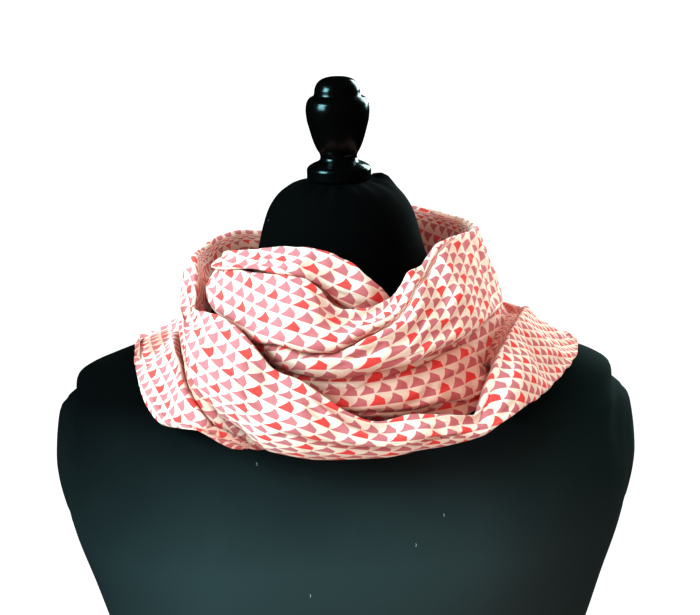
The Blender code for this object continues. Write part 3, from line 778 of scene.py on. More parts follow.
# %% Pleats
# Each row holds a place on the pleat's line, how deep it is there, how high the cloth stands
# above and below it, how much cloth it swallows, and how far the cloth below it lies back.
Pleat = namedtuple("Pleat", "angle share depth above below hidden sunk")
FRONT_PLEAT = table(
    Pleat,
    (652, -0.16, 0, 0, 0, 35, 0),
    (668.6, 0.05, 1, 1, 1, 35, 0),
    (687.5, 0.22, 1.5, 1.2, 1.5, 35, 0),
    (701.5, 0.33, 3, 1.5, 2.5, 34, 0),
    (714, 0.47, 5.5, 2, 2.5, 28, 0),
    (722, 0.59, 7, 3.5, 1, 22, 0),
    (732, 0.68, 8, 4.5, 0, 14, 0),
    (742, 0.66, 6, 4.5, 0, 7, 0),
    (753, 0.68, 4, 4, 0, 2, 1),
    (762, 0.64, 3, 3.5, 0, 0, 3),
    (775, 0.56, 3, 3, 0, 0, 6),
    (788, 0.48, 2, 2.5, 0, 0, 6),
    (802, 0.40, 1, 1, 0, 0, 4),
    (811, 0.36, 0, 0, 0, 0, 0),
)
LEFT_PLEAT = table(
    Pleat,
    (23, 0.80, 0, 0, 0, 0, 0),
    (30.6, 0.57, 6, 3, 0, 3, 2),
    (37.3, 0.50, 8, 4.5, 0.5, 5, 2),
    (43.2, 0.46, 9, 5, 1, 6, 2),
    (49.3, 0.40, 9, 5, 1.5, 7, 1),
    (57.6, 0.32, 10, 5, 2, 8, 1),
    (66, 0.28, 10, 5, 2, 8, 1),
    (74, 0.26, 9, 4, 1, 7, 2),
    (84, 0.22, 4, 2, 0, 4, 2),
    (98, 0.18, 0, 0, 0, 0, 0),
)
INNER_PLEAT = table(
    Pleat,
    (307, 0.66, 0, 0, 0, 0, 0),
    (314, 0.66, 2.5, 3, 0, 2, 2.5),
    (328, 0.61, 3, 3, 0, 3, 3),
    (340, 0.64, 3, 2.5, 0, 2, 2.5),
    (356, 0.62, 1.5, 1.5, 0, 1, 1),
    (370, 0.60, 0, 0, 0, 0, 0),
)
PLEATS = (FRONT_PLEAT, LEFT_PLEAT)
print(f"the front pleat is {max(row.depth for row in FRONT_PLEAT):.0f} mm deep at most")

# %% Folding the grid
BAND_RADIUS = 115.0  # where lengths along the band are measured
STROKE_ENDS = 0.7  # below 1, a stroke keeps its height nearer to its ends


def unit(vectors):
    """A grid of vectors, each at length 1."""
    return vectors / (np.linalg.norm(vectors, axis=2, keepdims=True) + 1e-9)


def normals_of(grid):
    """Unit normals of a grid of points, facing away from the neck on a section's face."""
    return unit(np.cross(np.gradient(grid, axis=0), np.gradient(grid, axis=1)))


def steps_across(grid):
    """The distances from each point to the next across the band."""
    return np.linalg.norm(np.diff(grid, axis=1), axis=2)


def face_widths(grid):
    """How wide the face is at each section, laid flat."""
    return steps_across(grid[:, ON_FACE]).sum(axis=1)


def folded(grid, angles, folds):
    """The grid with its ridges and troughs. Distances are measured on the face laid flat."""
    face = face_widths(grid)
    along_mm = np.radians(angles)[:, None] * BAND_RADIUS
    place = np.stack(np.broadcast_arrays(along_mm, face[:, None] * FACE_SHARE), axis=2)
    moved = np.zeros(grid.shape[:2])
    for fold in folds:
        ends = np.array([fold.angle_1, fold.angle_2])
        down = np.array([fold.share_1, fold.share_2]) * np.interp(ends, angles, face)
        start, stop = np.stack([np.radians(ends) * BAND_RADIUS, down], axis=1)
        way = stop - start
        progress = np.clip((place - start) @ way / (way @ way), 0, 1)
        away = np.linalg.norm(place - start - progress[..., None] * way, axis=2)
        moved += fold.height * np.sin(np.pi * progress) ** STROKE_ENDS * bell(away, fold.width)
    return grid + moved[..., None] * normals_of(grid)


print("lengths along the band are measured at", BAND_RADIUS, "mm from the neck's axis")

# %% Pleating it
# Places across a pleat's line, and widths there, in millimetres.
RIDGE_AT, RIDGE_WIDE = -5, 5
SWELL_AT, SWELL_WIDE = 6, 5
TROUGH_WIDE, TROUGH_OPENS = 1.8, 1.5  # and how much wider it is below the line
STEP_REACH = 8  # over which the cloth below goes back
LAP_SHARE, LAP_AT, LAP_WIDE = 0.9, -2, 3


def past_pleat(grid, angles, pleat):
    """How many millimetres each point lies below a pleat, and the pleat's sizes by section."""
    c = columns_held(pleat, angles)
    past = (FACE_SHARE[None, :] - c["share"][:, None]) * face_widths(grid)[:, None]
    return past, {name: column[:, None] for name, column in c.items()}


def pleated(grid, angles, pleat):
    """The grid with a pleat: a narrow trough under an edge that laps over it."""
    past, c = past_pleat(grid, angles, pleat)
    there = ((angles > pleat[0].angle) & (angles < pleat[-1].angle))[:, None]
    step_down = np.clip(past / STEP_REACH, 0, 1)
    lifted = (
        c["above"] * bell(past - RIDGE_AT, RIDGE_WIDE)
        + c["below"] * bell(past - SWELL_AT, SWELL_WIDE)
        - c["depth"] * bell(np.where(past > 0, past / TROUGH_OPENS, past), TROUGH_WIDE)
        - c["sunk"] * step_down * step_down * (3 - 2 * step_down)
    )
    lapped = LAP_SHARE * c["above"] * bell(past - LAP_AT, LAP_WIDE)
    down = unit(np.gradient(grid, axis=1))
    moved = lifted[..., None] * normals_of(grid) + lapped[..., None] * down
    return grid + there[..., None] * moved


print("a pleat's lip laps", LAP_SHARE, "of its height over the trough")

# %% Bands of cloth, clear of the form
CLEAR = 1.2  # millimetres kept between the cloth and the form


def clear_of_form(grid):
    """The grid with each point kept clear of the form."""
    points = grid.reshape(-1, 3).copy()
    for i, point in enumerate(points):
        place, normal, _, _ = form_tree.find_nearest(Vector(point * MM))
        depth = (Vector(point * MM) - place).dot(normal) / MM
        if depth < CLEAR:
            points[i] += np.array(normal) * (CLEAR - depth)
    return points.reshape(grid.shape)


def band_points(rows, folds=(), pleats=()):
    """A band's grid of points, in millimetres, and its angles."""
    first, last = rows[0].angle, rows[-1].angle
    angles = np.linspace(first, last, 1 + round((last - first) / ANGLE_STEP))
    grid = placed(angles, outlines(columns(rows, "angle", angles), ACROSS))
    grid = folded(grid, angles, folds)
    for pleat in pleats:
        grid = pleated(grid, angles, pleat)
    return clear_of_form(grid), angles


bands = {
    "scarf_winding": band_points(WINDING, WINDING_FOLDS, PLEATS),
    "scarf_upper_lip": band_points(UPPER_LIP, LIP_FOLDS),
    "scarf_inner_front": band_points(INNER_FRONT, INNER_FOLDS, (INNER_PLEAT,)),
    "scarf_under_lip": band_points(UNDER_LIP),
    "scarf_under_front": band_points(UNDER_FRONT),
    "scarf_under_collar": band_points(UNDER_COLLAR),
    "scarf_under_back": band_points(UNDER_BACK),
}
for name, (grid, angles) in bands.items():
    print(f"{name}: {grid.shape[0]} sections of {grid.shape[1]} points")

# %% [markdown]
# ## Laying the cloth flat
# A print keeps to the cloth's own map: it runs along the loop and across it, whatever the folds
# do. So each point gets a UV place in centimetres, by walking along the middle of the band and
# then across it. Where the band slopes, its sections aren't square to it. The walk across is
# then turned, or the print would lean over.

# %% How the print lies on the windings
# Each row holds an angle, the degrees by which the print's rows rise to the left there, and how
# much cloth is gathered into each millimetre along the band and across it.
Lie = namedtuple("Lie", "angle rise gather_along gather_across")
WINDING_LIE = table(
    Lie,
    (23, 20, 1.3, 1), (40, 18, 1.45, 1), (60, 14, 1.6, 1), (80, 6, 1.5, 1),
    (112, -3, 1.15, 1), (150, 0, 1, 1), (240, -4, 1, 1), (262, 6, 2.0, 1.15),
    (285, 15, 2.6, 1.2), (303, 18, 2.4, 1.15), (310, 22, 1.6, 1), (320, 12, 1, 1),
    (330, 0, 1, 1), (338, 2, 1, 1), (347, 7, 0.95, 1), (358, 15, 0.92, 1),
    (371, 20, 0.92, 1), (380, 24, 0.95, 1), (398, 28, 1, 1), (407, 30, 1, 1),
    (415, 25, 1, 1), (431, 16, 1, 1.1), (447, 10, 1.15, 1.1), (463, -4, 1.15, 1),
    (487, 0, 1.1, 1), (520, 5, 1, 1), (555, 7, 1, 1), (580, 0, 1, 1), (607, -1, 1, 1),
    (636, 4, 1, 1), (655, -10, 1.1, 1.1), (665, -32, 1.25, 1.25), (680, -42, 1.3, 1.3),
    (696, -40, 1.2, 1.25), (704, -20, 1, 1.1), (709, -6, 0.97, 1.05), (715, 3, 0.95, 1),
    (722, 10, 0.95, 1), (735, 14, 0.95, 1), (745, 12, 1, 1), (760, 9, 1, 1),
    (785, 8, 1, 1), (842, 6, 1, 1),
)
most_gathered = max(row.gather_along for row in WINDING_LIE)
print(f"on the right shoulder {most_gathered} mm of cloth go into each millimetre")

# %% How it lies on the other sheets
LIP_LIE = table(
    Lie,
    (-26, 33, 1, 1), (-10, 26, 1, 1), (6, 25, 1, 1), (18, 14, 1, 1), (30, 6, 1, 1),
    (50, 0, 1, 1), (104, 0, 1, 1),
)
INNER_LIE = table(
    Lie,
    (284, 5, 1.2, 1), (308, -6, 1.1, 1), (325, -8, 1, 1), (345, -3, 1, 1),
    (385, 5, 1, 1),
)
LIES = {
    "scarf_winding": WINDING_LIE,
    "scarf_upper_lip": LIP_LIE,
    "scarf_inner_front": INNER_LIE,
    "scarf_under_lip": LIP_LIE,
    "scarf_under_front": INNER_LIE,
    "scarf_under_collar": table(Lie, (66, 0), (150, 4), (284, 0), shared=(1, 1)),
    "scarf_under_back": table(Lie, (128, 0), (190, 2), (254, 0), shared=(1, 1)),
}
print(f"{len(LIES)} sheets say how the print lies on them")

# %% Walking across the cloth
TURNED_UNDER = (325, 400)  # angles at which the front's low edge is gathered as it turns under
GATHERED_FROM, GATHERED_OVER = 0.5, 0.35  # shares of the face at which that begins, and grows
SMOOTH_OVER = 9  # sections


def smoothed(values, span):
    """A running mean, with the ends repeated."""
    padded = np.pad(values, span // 2, mode="edge")
    return np.convolve(padded, np.ones(span) / span, mode="valid")


def walk_across(grid, angles, gather, turned_under):
    """How many millimetres of cloth lie between each point and the middle of its section."""
    steps = steps_across(grid) * gather[:, None]
    if turned_under:
        low = np.clip((FACE_SHARE[1:] - GATHERED_FROM) / GATHERED_OVER, 0, 1)
        inside = (angles > TURNED_UNDER[0]) & (angles < TURNED_UNDER[1])
        steps = steps * (1 + smoothed(inside.astype(float), SMOOTH_OVER)[:, None] * low[None, :])
    walked = running_sum(steps)
    return walked[:, MIDDLE : MIDDLE + 1] - walked


print("a running mean of 0, 3 and 0:", smoothed([0, 3, 0], 3))

# %% Walking along it, and the map
SLOPE_POINTS = 4  # points up and down from the middle that give a section's direction
PLEAT_HIDES_OVER = 4  # millimetres in which a pleat's swallowed cloth is taken up


def walk_along(grid, angles, gather, rise):
    """The middle of each section on the cloth laid flat: to the right of the start, and up."""
    section_up = grid[:, MIDDLE - SLOPE_POINTS] - grid[:, MIDDLE + SLOPE_POINTS]
    section_up /= np.linalg.norm(section_up, axis=1, keepdims=True)
    turn = np.radians(angles)
    ahead = np.stack([-np.cos(turn), np.sin(turn), np.zeros(len(turn))], axis=1)
    step = np.diff(grid[:, MIDDLE], axis=0)
    along = (step * (ahead[1:] + ahead[:-1]) / 2).sum(axis=1)
    along *= (gather[1:] + gather[:-1]) / 2
    climb = (step * (section_up[1:] + section_up[:-1]) / 2).sum(axis=1)
    half = (rise[1:] + rise[:-1]) / 2
    run = running_sum(along * np.cos(half) + climb * np.sin(half))
    height = running_sum(climb * np.cos(half) - along * np.sin(half))
    return run[:, None], height[:, None]


def cloth_map(grid, angles, lies, pleats=()):
    """Where each point lies on the cloth laid flat: centimetres to the right and up."""
    c = columns(lies, "angle", angles)
    rise = np.radians(c["rise"])
    up = walk_across(grid, angles, c["gather_across"], bool(pleats))
    run, height = walk_along(grid, angles, c["gather_along"], rise)
    right = -(run + up * np.sin(rise)[:, None])
    above = height + up * np.cos(rise)[:, None]
    for pleat in pleats:
        past, sizes = past_pleat(grid, angles, pleat)
        above -= sizes["hidden"] * np.clip(past / PLEAT_HIDES_OVER + 0.5, 0, 1)
    return np.stack([right, above], axis=2) * (MM / CM)


flat_maps = {
    name: cloth_map(*bands[name], lies, PLEATS if name == "scarf_winding" else ())
    for name, lies in LIES.items()
}
for name, flat in flat_maps.items():
    print(f"{name}: its map is {np.ptp(flat[..., 0]):.0f} cm long")


# %% A sheet as a mesh
def sheet_faces(rows, wide, first=0):
    """Quads over a grid of points that are numbered row by row, facing away from the neck."""
    number = first + np.arange(rows * wide).reshape(rows, wide)
    corners = (number[:-1, :-1], number[1:, :-1], number[1:, 1:], number[:-1, 1:])
    return np.stack(corners, axis=2).reshape(-1, 4).tolist()


def sheet_object(name, grid, flat=None):
    """The grid as a sheet of quads, with its flat map where one is given."""
    obj = object_from(name, grid.reshape(-1, 3) * MM, sheet_faces(*grid.shape[:2]))
    if flat is not None:
        corners = np.empty(len(obj.data.loops), np.int32)
        obj.data.loops.foreach_get("vertex_index", corners)
        layer = obj.data.uv_layers.new(name="cloth")
        places = flat.reshape(-1, 2)[corners]
        layer.uv.foreach_set("vector", places.astype(np.float32).ravel())
    return obj


print("a grid of 3 by 4 points makes", len(sheet_faces(3, 4)), "quads")

# %% [markdown]
# ## Letting the cloth settle
# Folds drawn one by one look too even. Blender's Cloth modifier makes the rest: the sheet is told
# that it was cut a little wider than its place, so it buckles into long soft wrinkles, as cloth
# does that is pushed together on a shoulder. Its edges and rolled folds are held, and the faces
# are held loosely. The result is written into the mesh, and no modifier is left.

# %% Holding the edges
LOOSE, HELD = 0.06, 0.6  # hold on the faces, and how much more near their edges
EDGE_BAND, EDGE_FADE = 0.1, 0.12  # shares of the face past which all is held, and fades


def hold(obj, rows, wide):
    """A vertex group that holds the folds at the edges and lets the faces move."""
    group = obj.vertex_groups.new(name="hold")
    for k, place in enumerate(FACE_SHARE):
        if -EDGE_BAND < place < 1 + EDGE_BAND:
            near_edge = min(place + EDGE_BAND, 1 + EDGE_BAND - place) / EDGE_FADE
            weight = LOOSE + HELD * math.exp(-(near_edge**2))
        else:
            weight = 1.0
        group.add([row * wide + k for row in range(rows)], weight, "REPLACE")
    ends = [*range(wide), *range((rows - 1) * wide, rows * wide)]
    group.add(ends, 1.0, "REPLACE")
    return group


print(f"the edges are held {1 + HELD / LOOSE:.0f} times as firmly as the faces")

# %% Cloth simulation
SETTLE_FRAMES = 18
MOST_MOVED = 6.0  # millimetres
WIDER = 1.09  # the sheet as it was cut, for each millimetre of its place
COTTON = {"quality": 5, "mass": 0.02, "pin_stiffness": 3, "bending_stiffness": 0.2}
GRAVITY = 0.5  # share of the earth's


def settled(name, grid):
    """The grid as the cloth simulation leaves it, and how far it moved at most."""
    obj = sheet_object(name + "_settling", grid)
    centre = grid[:, MIDDLE : MIDDLE + 1]
    obj.shape_key_add(name="in place")
    cut = obj.shape_key_add(name="as cut")
    cut.value = 0
    wide_cut = (centre + (grid - centre) * WIDER) * MM
    cut.data.foreach_set("co", wide_cut.reshape(-1).astype(np.float32))
    modifier = obj.modifiers.new("cloth", "CLOTH")
    cloth = modifier.settings
    cloth.vertex_group_mass = hold(obj, *grid.shape[:2]).name
    cloth.rest_shape_key = cut
    for key, value in COTTON.items():
        setattr(cloth, key, value)
    cloth.effector_weights.gravity = GRAVITY
    modifier.collision_settings.use_collision = False
    modifier.point_cache.frame_end = SETTLE_FRAMES
    for frame_number in range(1, SETTLE_FRAMES + 1):
        bpy.context.scene.frame_set(frame_number)
    mesh = obj.evaluated_get(bpy.context.evaluated_depsgraph_get()).data
    found = np.empty(len(mesh.vertices) * 3, np.float32)
    mesh.vertices.foreach_get("co", found)
    bpy.context.scene.frame_set(1)
    bpy.data.objects.remove(obj)
    moved = found.reshape(grid.shape) / MM - grid
    length = np.linalg.norm(moved, axis=2, keepdims=True)
    moved *= np.minimum(1, MOST_MOVED / (length + 1e-9))
    return grid + moved, float(length.max())


for name in ("scarf_winding", "scarf_upper_lip", "scarf_inner_front"):
    grid, angles = bands[name]
    grid, most = settled(name, grid)
    bands[name] = (grid, angles)
    print(f"{name}: settled by {most:.1f} mm at most")

# %% [markdown]
# ## Small wrinkles
# The settled sheets are coarse, because a simulation is slow on a fine one. A point more between
# each two, on a smooth curve, makes them fine enough for wrinkles a few millimetres apart. The
# wrinkles are Perlin noise that is stretched along the creases: long streaks where the cloth is
# pulled, short upright ones where it is gathered. The noise has no seed but its place, so it
# comes out the same each time.

# %% Wrinkles by angle: their height, and their lengths along and across the band, in millimetres
Wrinkle = namedtuple("Wrinkle", "angle height along across")
WINDING_WRINKLES = table(
    Wrinkle,
    (23, 0.9, 24, 7), (60, 0.9, 18, 8), (100, 1.0, 20, 9), (240, 1.0, 20, 9),
    (258, 0.9, 9, 16), (270, 0.9, 4.5, 30), (300, 0.9, 4.5, 26), (312, 0.8, 10, 14),
    (325, 0.7, 22, 7), (350, 0.8, 26, 7), (380, 0.8, 26, 7), (400, 0.9, 20, 8),
    (425, 0.9, 10, 10), (436, 1.0, 4, 16), (448, 1.0, 5, 16), (462, 1.0, 14, 9),
    (480, 1.0, 22, 8), (640, 1.0, 22, 8), (665, 0.9, 16, 8), (700, 0.9, 22, 7),
    (735, 0.8, 24, 6), (775, 0.9, 20, 5), (842, 0.9, 16, 5),
)
WRINKLES = {
    "scarf_winding": WINDING_WRINKLES,
    "scarf_upper_lip": table(Wrinkle, (-26, 0.8, 18, 5), (20, 0.7, 18, 5), (104, 0.8, 12, 4)),
    "scarf_inner_front": table(Wrinkle, (308, 0.8, 14, 6), (372, 0.9, 22, 5)),
    "scarf_under_lip": table(Wrinkle, (-12, 1.8, 14, 4), (70, 1.5, 14, 4)),
    "scarf_under_front": table(Wrinkle, (284, 1.2, 20, 5), (385, 1.2, 20, 5)),
    "scarf_under_collar": table(Wrinkle, (66, 1.0, 20, 8), (284, 1.0, 20, 8)),
    "scarf_under_back": table(Wrinkle, (128, 1.0, 20, 8), (254, 1.0, 20, 8)),
}
print(f"{len(WINDING_WRINKLES)} places set the wrinkles of the windings")

# %% Finer grids, and wrinkles on them
SMALLER = 0.45  # height of the wrinkles half as long, as a share of the others'
LAYER, SMALLER_LAYER = 3, 8  # depths at which the noise is read


def finer(grid):
    """The grid with a point more between each two, on a smooth curve through its neighbours."""
    for axis in (0, 1):
        line = np.moveaxis(grid, axis, 0)
        padded = np.concatenate([2 * line[:1] - line[1:2], line, 2 * line[-1:] - line[-2:-1]])
        between = (9 * (padded[1:-2] + padded[2:-1]) - padded[:-3] - padded[3:]) / 16
        fine = np.empty((2 * len(line) - 1, *line.shape[1:]))
        fine[::2] = line
        fine[1::2] = between
        grid = np.moveaxis(fine, 0, axis)
    return grid


def wrinkle_noise(along, across):
    large = noise.noise(Vector((along, across, LAYER)))
    return large + SMALLER * noise.noise(Vector((2 * along, 2 * across, SMALLER_LAYER)))


def wrinkled(grid, angles, wrinkles):
    """The grid with small wrinkles, stretched along the band and across it as the table says."""
    c = columns_held(wrinkles, angles)
    step = np.radians(np.diff(angles)) * BAND_RADIUS
    run = running_sum(step / c["along"][1:])
    walked = running_sum(steps_across(grid))
    walked = (walked - walked[:, -1:] / 2) / c["across"][:, None]
    moved = np.array([[wrinkle_noise(at, out) for out in outs] for at, outs in zip(run, walked)])
    return grid + (c["height"][:, None] * moved)[..., None] * normals_of(grid)


print("noise at one place, read twice:", wrinkle_noise(0.3, 0.7), wrinkle_noise(0.3, 0.7))

# %% [markdown]
# ## How open each place lies
# Light that gets into the depth of a fold has touched pink cloth several times on its way, so
# the shade there is redder than the shade of an open side. Rays are sent out from each point in
# directions spread evenly over a ball. The share that gets away is kept on the mesh, and where
# little gets away a painted shade darkens and reddens the print.

# %% Rays over a ball, and all that stands in their way
RAYS = 48


def ball_directions(count):
    """Unit vectors spread evenly over a ball, along a spiral of golden angles."""
    number = np.arange(count)
    height = 1 - (2 * number + 1) / count
    turn = number * math.pi * (3 - math.sqrt(5))
    ring = np.sqrt(1 - height**2)
    return np.stack([ring * np.cos(turn), ring * np.sin(turn), height], axis=1)


def everything_in_the_way():
    """All the sheets and the form as one tree for rays."""
    points = [vertex.co.copy() for vertex in dress_form.data.vertices]
    faces = [tuple(face.vertices) for face in dress_form.data.polygons]
    for grid, _ in bands.values():
        faces.extend(sheet_faces(*grid.shape[:2], first=len(points)))
        points.extend(Vector(point) for point in grid.reshape(-1, 3) * MM)
    return BVHTree.FromPolygons(points, faces)


in_the_way = everything_in_the_way()
print(f"{RAYS} rays from each point")

# %% Openness of the folds
RAY_LENGTH = 0.3  # metres
RAY_START = 0.0008  # metres above the cloth
GRAZING = 0.1  # rays flatter to the cloth than this are left out
SHADE_OF_COWL = 0.6  # lowers the inner front's openness, so its painted shade is deeper: it gets its light past the front's two edges alone


def openness(grid, tree):
    """The share of an even light that reaches each point of a sheet, from 0 to 1."""
    rays = ball_directions(RAYS)
    ways = [Vector(ray) for ray in rays]
    normals = normals_of(grid).reshape(-1, 3)
    found = []
    for point, normal, shares in zip(grid.reshape(-1, 3) * MM, normals, normals @ rays.T):
        start = Vector(point + normal * RAY_START)
        used = np.nonzero(shares > GRAZING)[0]
        free = sum(shares[k] for k in used if tree.ray_cast(start, ways[k], RAY_LENGTH)[0] is None)
        found.append(free / shares[used].sum())
    found = np.pad(np.array(found).reshape(grid.shape[:2]), 1, mode="edge")
    found = (found[:-2] + 2 * found[1:-1] + found[2:]) / 4
    return (found[:, :-2] + 2 * found[:, 1:-1] + found[:, 2:]) / 4


open_share = {name: openness(grid, in_the_way) for name, (grid, _) in bands.items()}
# The inner front's openness is lowered, which deepens the painted shade on it.
open_share["scarf_inner_front"] *= SHADE_OF_COWL
for name, found in open_share.items():
    print(f"{name}: open by {found.min():.2f} to {found.max():.2f}, {found.mean():.2f} on average")

# %% Fine sheets
def area_of(obj):
    """The area of all its faces, in square metres."""
    return sum(face.area for face in obj.data.polygons)


scarf = {}
for name, (grid, angles) in bands.items():
    fine_angles = finer(angles[:, None].repeat(2, axis=1))[:, 0]
    fine_grid = clear_of_form(wrinkled(finer(grid), fine_angles, WRINKLES[name]))
    scarf[name] = sheet_object(name, fine_grid, finer(flat_maps[name]))
    kept = scarf[name].data.attributes.new("open", "FLOAT", "POINT")
    kept.data.foreach_set("value", finer(open_share[name][..., None]).ravel().astype(np.float32))
    area = area_of(scarf[name]) / CM**2
    print(f"{name}: {2 * len(scarf[name].data.polygons)} triangles, {area:.0f} sq cm")

# %% [markdown]
# ## The print
# The cotton has a small repeat of fins: each has a flat base, a hollow left side and a full
# right side. Rows of them step sideways by half a repeat. Every second fin in every second row
# is coral, and the others are dusty pink. The spaces between the fins are cream, with a thin
# white line left round every shape. All of it is sums on the flat map, so it stays sharp at any
# distance and needs no image.

# %% Sizes and inks of the print
FIN_REPEAT = 1.20  # centimetres from one fin to the next along a row
FIN_ROW = 0.84  # centimetres from one row to the next
FIN_BASE = 0.92  # share of the repeat that a fin's base covers
FIN_TIP = 0.42  # where its tip stands along the repeat
FIN_HEIGHT = 0.86  # share of the row
FIN_SLOPE = 0.50  # share of its height over which its full side slopes
FIN_BELLY = 0.8  # below 1, that side bulges
LINE = 0.05  # unprinted line round each shape, as a share of the repeat
CREAM_TOP = 0.96  # share of the row at which the cream between the fins ends
EDGE = 0.035  # softness of a printed edge
GROUND = eye(250, 226, 216)
CREAM = eye(238, 226, 211)
PINK = eye(204, 122, 128)
CORAL = eye(233, 80, 77)
WHITE = (1, 1, 1)
PAINTED_FOLD_SHADE = (0.80, 0.48, 0.44)  # painted shade: what the print is multiplied by in the depth of a fold
CLOSED_FROM, CLOSED_TO = 0.95, 0.35  # openness at which the painted shade begins and is full
print(f"print: {100 / FIN_REPEAT:.0f} fins in a metre of each row")

# %% Print and weave
THREADS = 22.0  # threads in a centimetre
WEAVE_DEPTH = 0.00012  # metres
SHEEN = {"Sheen Weight": 0.15, "Sheen Roughness": 0.5}


def fins(right, up):
    """Where ink lies, where cream lies and which fins are coral, as shares from 0 to 1."""
    rows = up / FIN_ROW
    row = rows.floor()
    height = rows - row
    repeats = right / FIN_REPEAT + row.wrapped(2) * 0.5
    repeat = repeats.floor()
    place = repeats - repeat

    rise = (height / FIN_HEIGHT).clipped()
    hollow_side = FIN_TIP * (1 - (1 - rise) ** 2)
    belly = ((1 - rise) / FIN_SLOPE).clipped() ** FIN_BELLY
    full_side = FIN_TIP + (FIN_BASE - FIN_TIP) * belly
    below_tip = 1 - height.above_edge(FIN_HEIGHT, EDGE)

    def fin(line):
        """The shape of a fin that is wider by a line on both sides."""
        left = place.above_edge(hollow_side - line, EDGE)
        return left * (1 - place.above_edge(full_side + line, EDGE)) * below_tip

    in_row = height.above_edge(LINE, EDGE) * (1 - height.above_edge(CREAM_TOP, EDGE))
    is_coral = (1 - row.wrapped(2)) * (1 - repeat.wrapped(2))
    return fin(0), (1 - fin(LINE)) * in_row, is_coral


def printed_cotton():
    finish = Finish("printed_cotton", GROUND, roughness=0.9, constants=SHEEN)
    flat = finish.node("ShaderNodeUVMap", settings={"uv_map": "cloth"})
    right, up = finish.part(flat, 0), finish.part(flat, 1)
    inked, between, is_coral = fins(right, up)
    ground = finish.mix(between, GROUND, CREAM)
    colour = finish.mix(inked, ground, finish.mix(is_coral, PINK, CORAL))
    # Painted shade: where little light gets away from a fold, the print is multiplied by a darker,
    # redder colour.
    attribute = {"attribute_name": "open"}
    open_here = Sum(finish.node("ShaderNodeAttribute", settings=attribute, output=2))
    closed = ((CLOSED_FROM - open_here) / (CLOSED_FROM - CLOSED_TO)).clipped()
    # glow is the painted shade's colour, white where the cloth lies open.
    glow = finish.mix(closed, WHITE, PAINTED_FOLD_SHADE)
    feed(finish.inputs["Base Color"], finish.mix(1.0, colour, glow, "MULTIPLY"))
    turn = 2 * math.pi * THREADS
    weave = (right * turn).math("SINE") * (up * turn).math("SINE")
    finish.bump(weave, strength=0.6, depth=WEAVE_DEPTH)
    return finish.material


cotton = printed_cotton()
for obj in scarf.values():
    obj.data.materials.append(cotton)
print(f"print: {len(cotton.node_tree.nodes)} nodes")

# %% [markdown]
# ## Jersey
# The form is covered in black cotton jersey. It drinks light: a dark colour, a high roughness
# and almost no gloss. Light and shade are painted into its colour: painted light on the body,
# and painted shade on the neck, the shoulders and the sides. The colour follows the height, with
# a cloudy noise on top.

# %% Jersey
JERSEY = eye(20, 26, 27)
BODY_PAINTED_LIGHT = eye(48, 61, 63)  # painted light: the body lighter, where light reaches it
NECK_PAINTED_SHADE = eye(4, 5, 6)  # painted shade on the neck and shoulders, under the scarf
RIGHT_SIDE_PAINTED_SHADE = eye(9, 29, 28)  # painted shade over the right shoulder, less deep than on the neck
PAINTED_LIGHT_FROM, PAINTED_LIGHT_TO = 0.56, 0.455  # heights in metres at which the painted light begins and is full
CLOUDS = 0.3  # how far the noise shifts the painted light
SIDES_FROM = 0.09  # metres from the middle; twice as far out the sides have their full colour
SIDES_KEEP = 0.6  # share of the painted light that the sides are spared, so they stay in painted shade
KNIT_DEPTH = 0.0003  # metres
DULL = {"Specular IOR Level": 0.05}


def jersey():
    finish = Finish("black_jersey", JERSEY, roughness=0.9, constants=DULL)
    place = finish.here()
    height, across = finish.part(place, 2), finish.part(place, 0)
    to_left = (across / -SIDES_FROM - 1).clipped()
    to_right = (across / SIDES_FROM - 1).clipped()
    clouds = (finish.noise(place, scale=14, detail=4) - 0.5) * CLOUDS
    # Painted light and shade: the colour is lighter low on the body and darker towards the neck,
    # and the sides keep part of the painted shade.
    painted_light = ((height - PAINTED_LIGHT_FROM) / (PAINTED_LIGHT_TO - PAINTED_LIGHT_FROM) + clouds).clipped()
    painted_light = painted_light * (1 - to_left * SIDES_KEEP) * (1 - to_right * SIDES_KEEP)
    painted_shade = finish.mix(to_right, NECK_PAINTED_SHADE, RIGHT_SIDE_PAINTED_SHADE)
    feed(finish.inputs["Base Color"], finish.mix(painted_light, painted_shade, BODY_PAINTED_LIGHT))
    finish.bump(finish.noise(place, scale=900, detail=2), strength=0.3, depth=KNIT_DEPTH)
    return finish.material


black_jersey = jersey()
dress_form.data.materials.append(black_jersey)
print(f"jersey: {len(black_jersey.node_tree.nodes)} nodes")

# %% [markdown]
# ## Lint
# Black jersey gathers lint. Specks of pale fibre lie on it here and there. They repeat, so
# Geometry Nodes scatter them: points are spread over the form's faces, and a short bent fibre is
# laid flat at each, turned and sized at random. The seed is an input, so they always land on the
# same places.

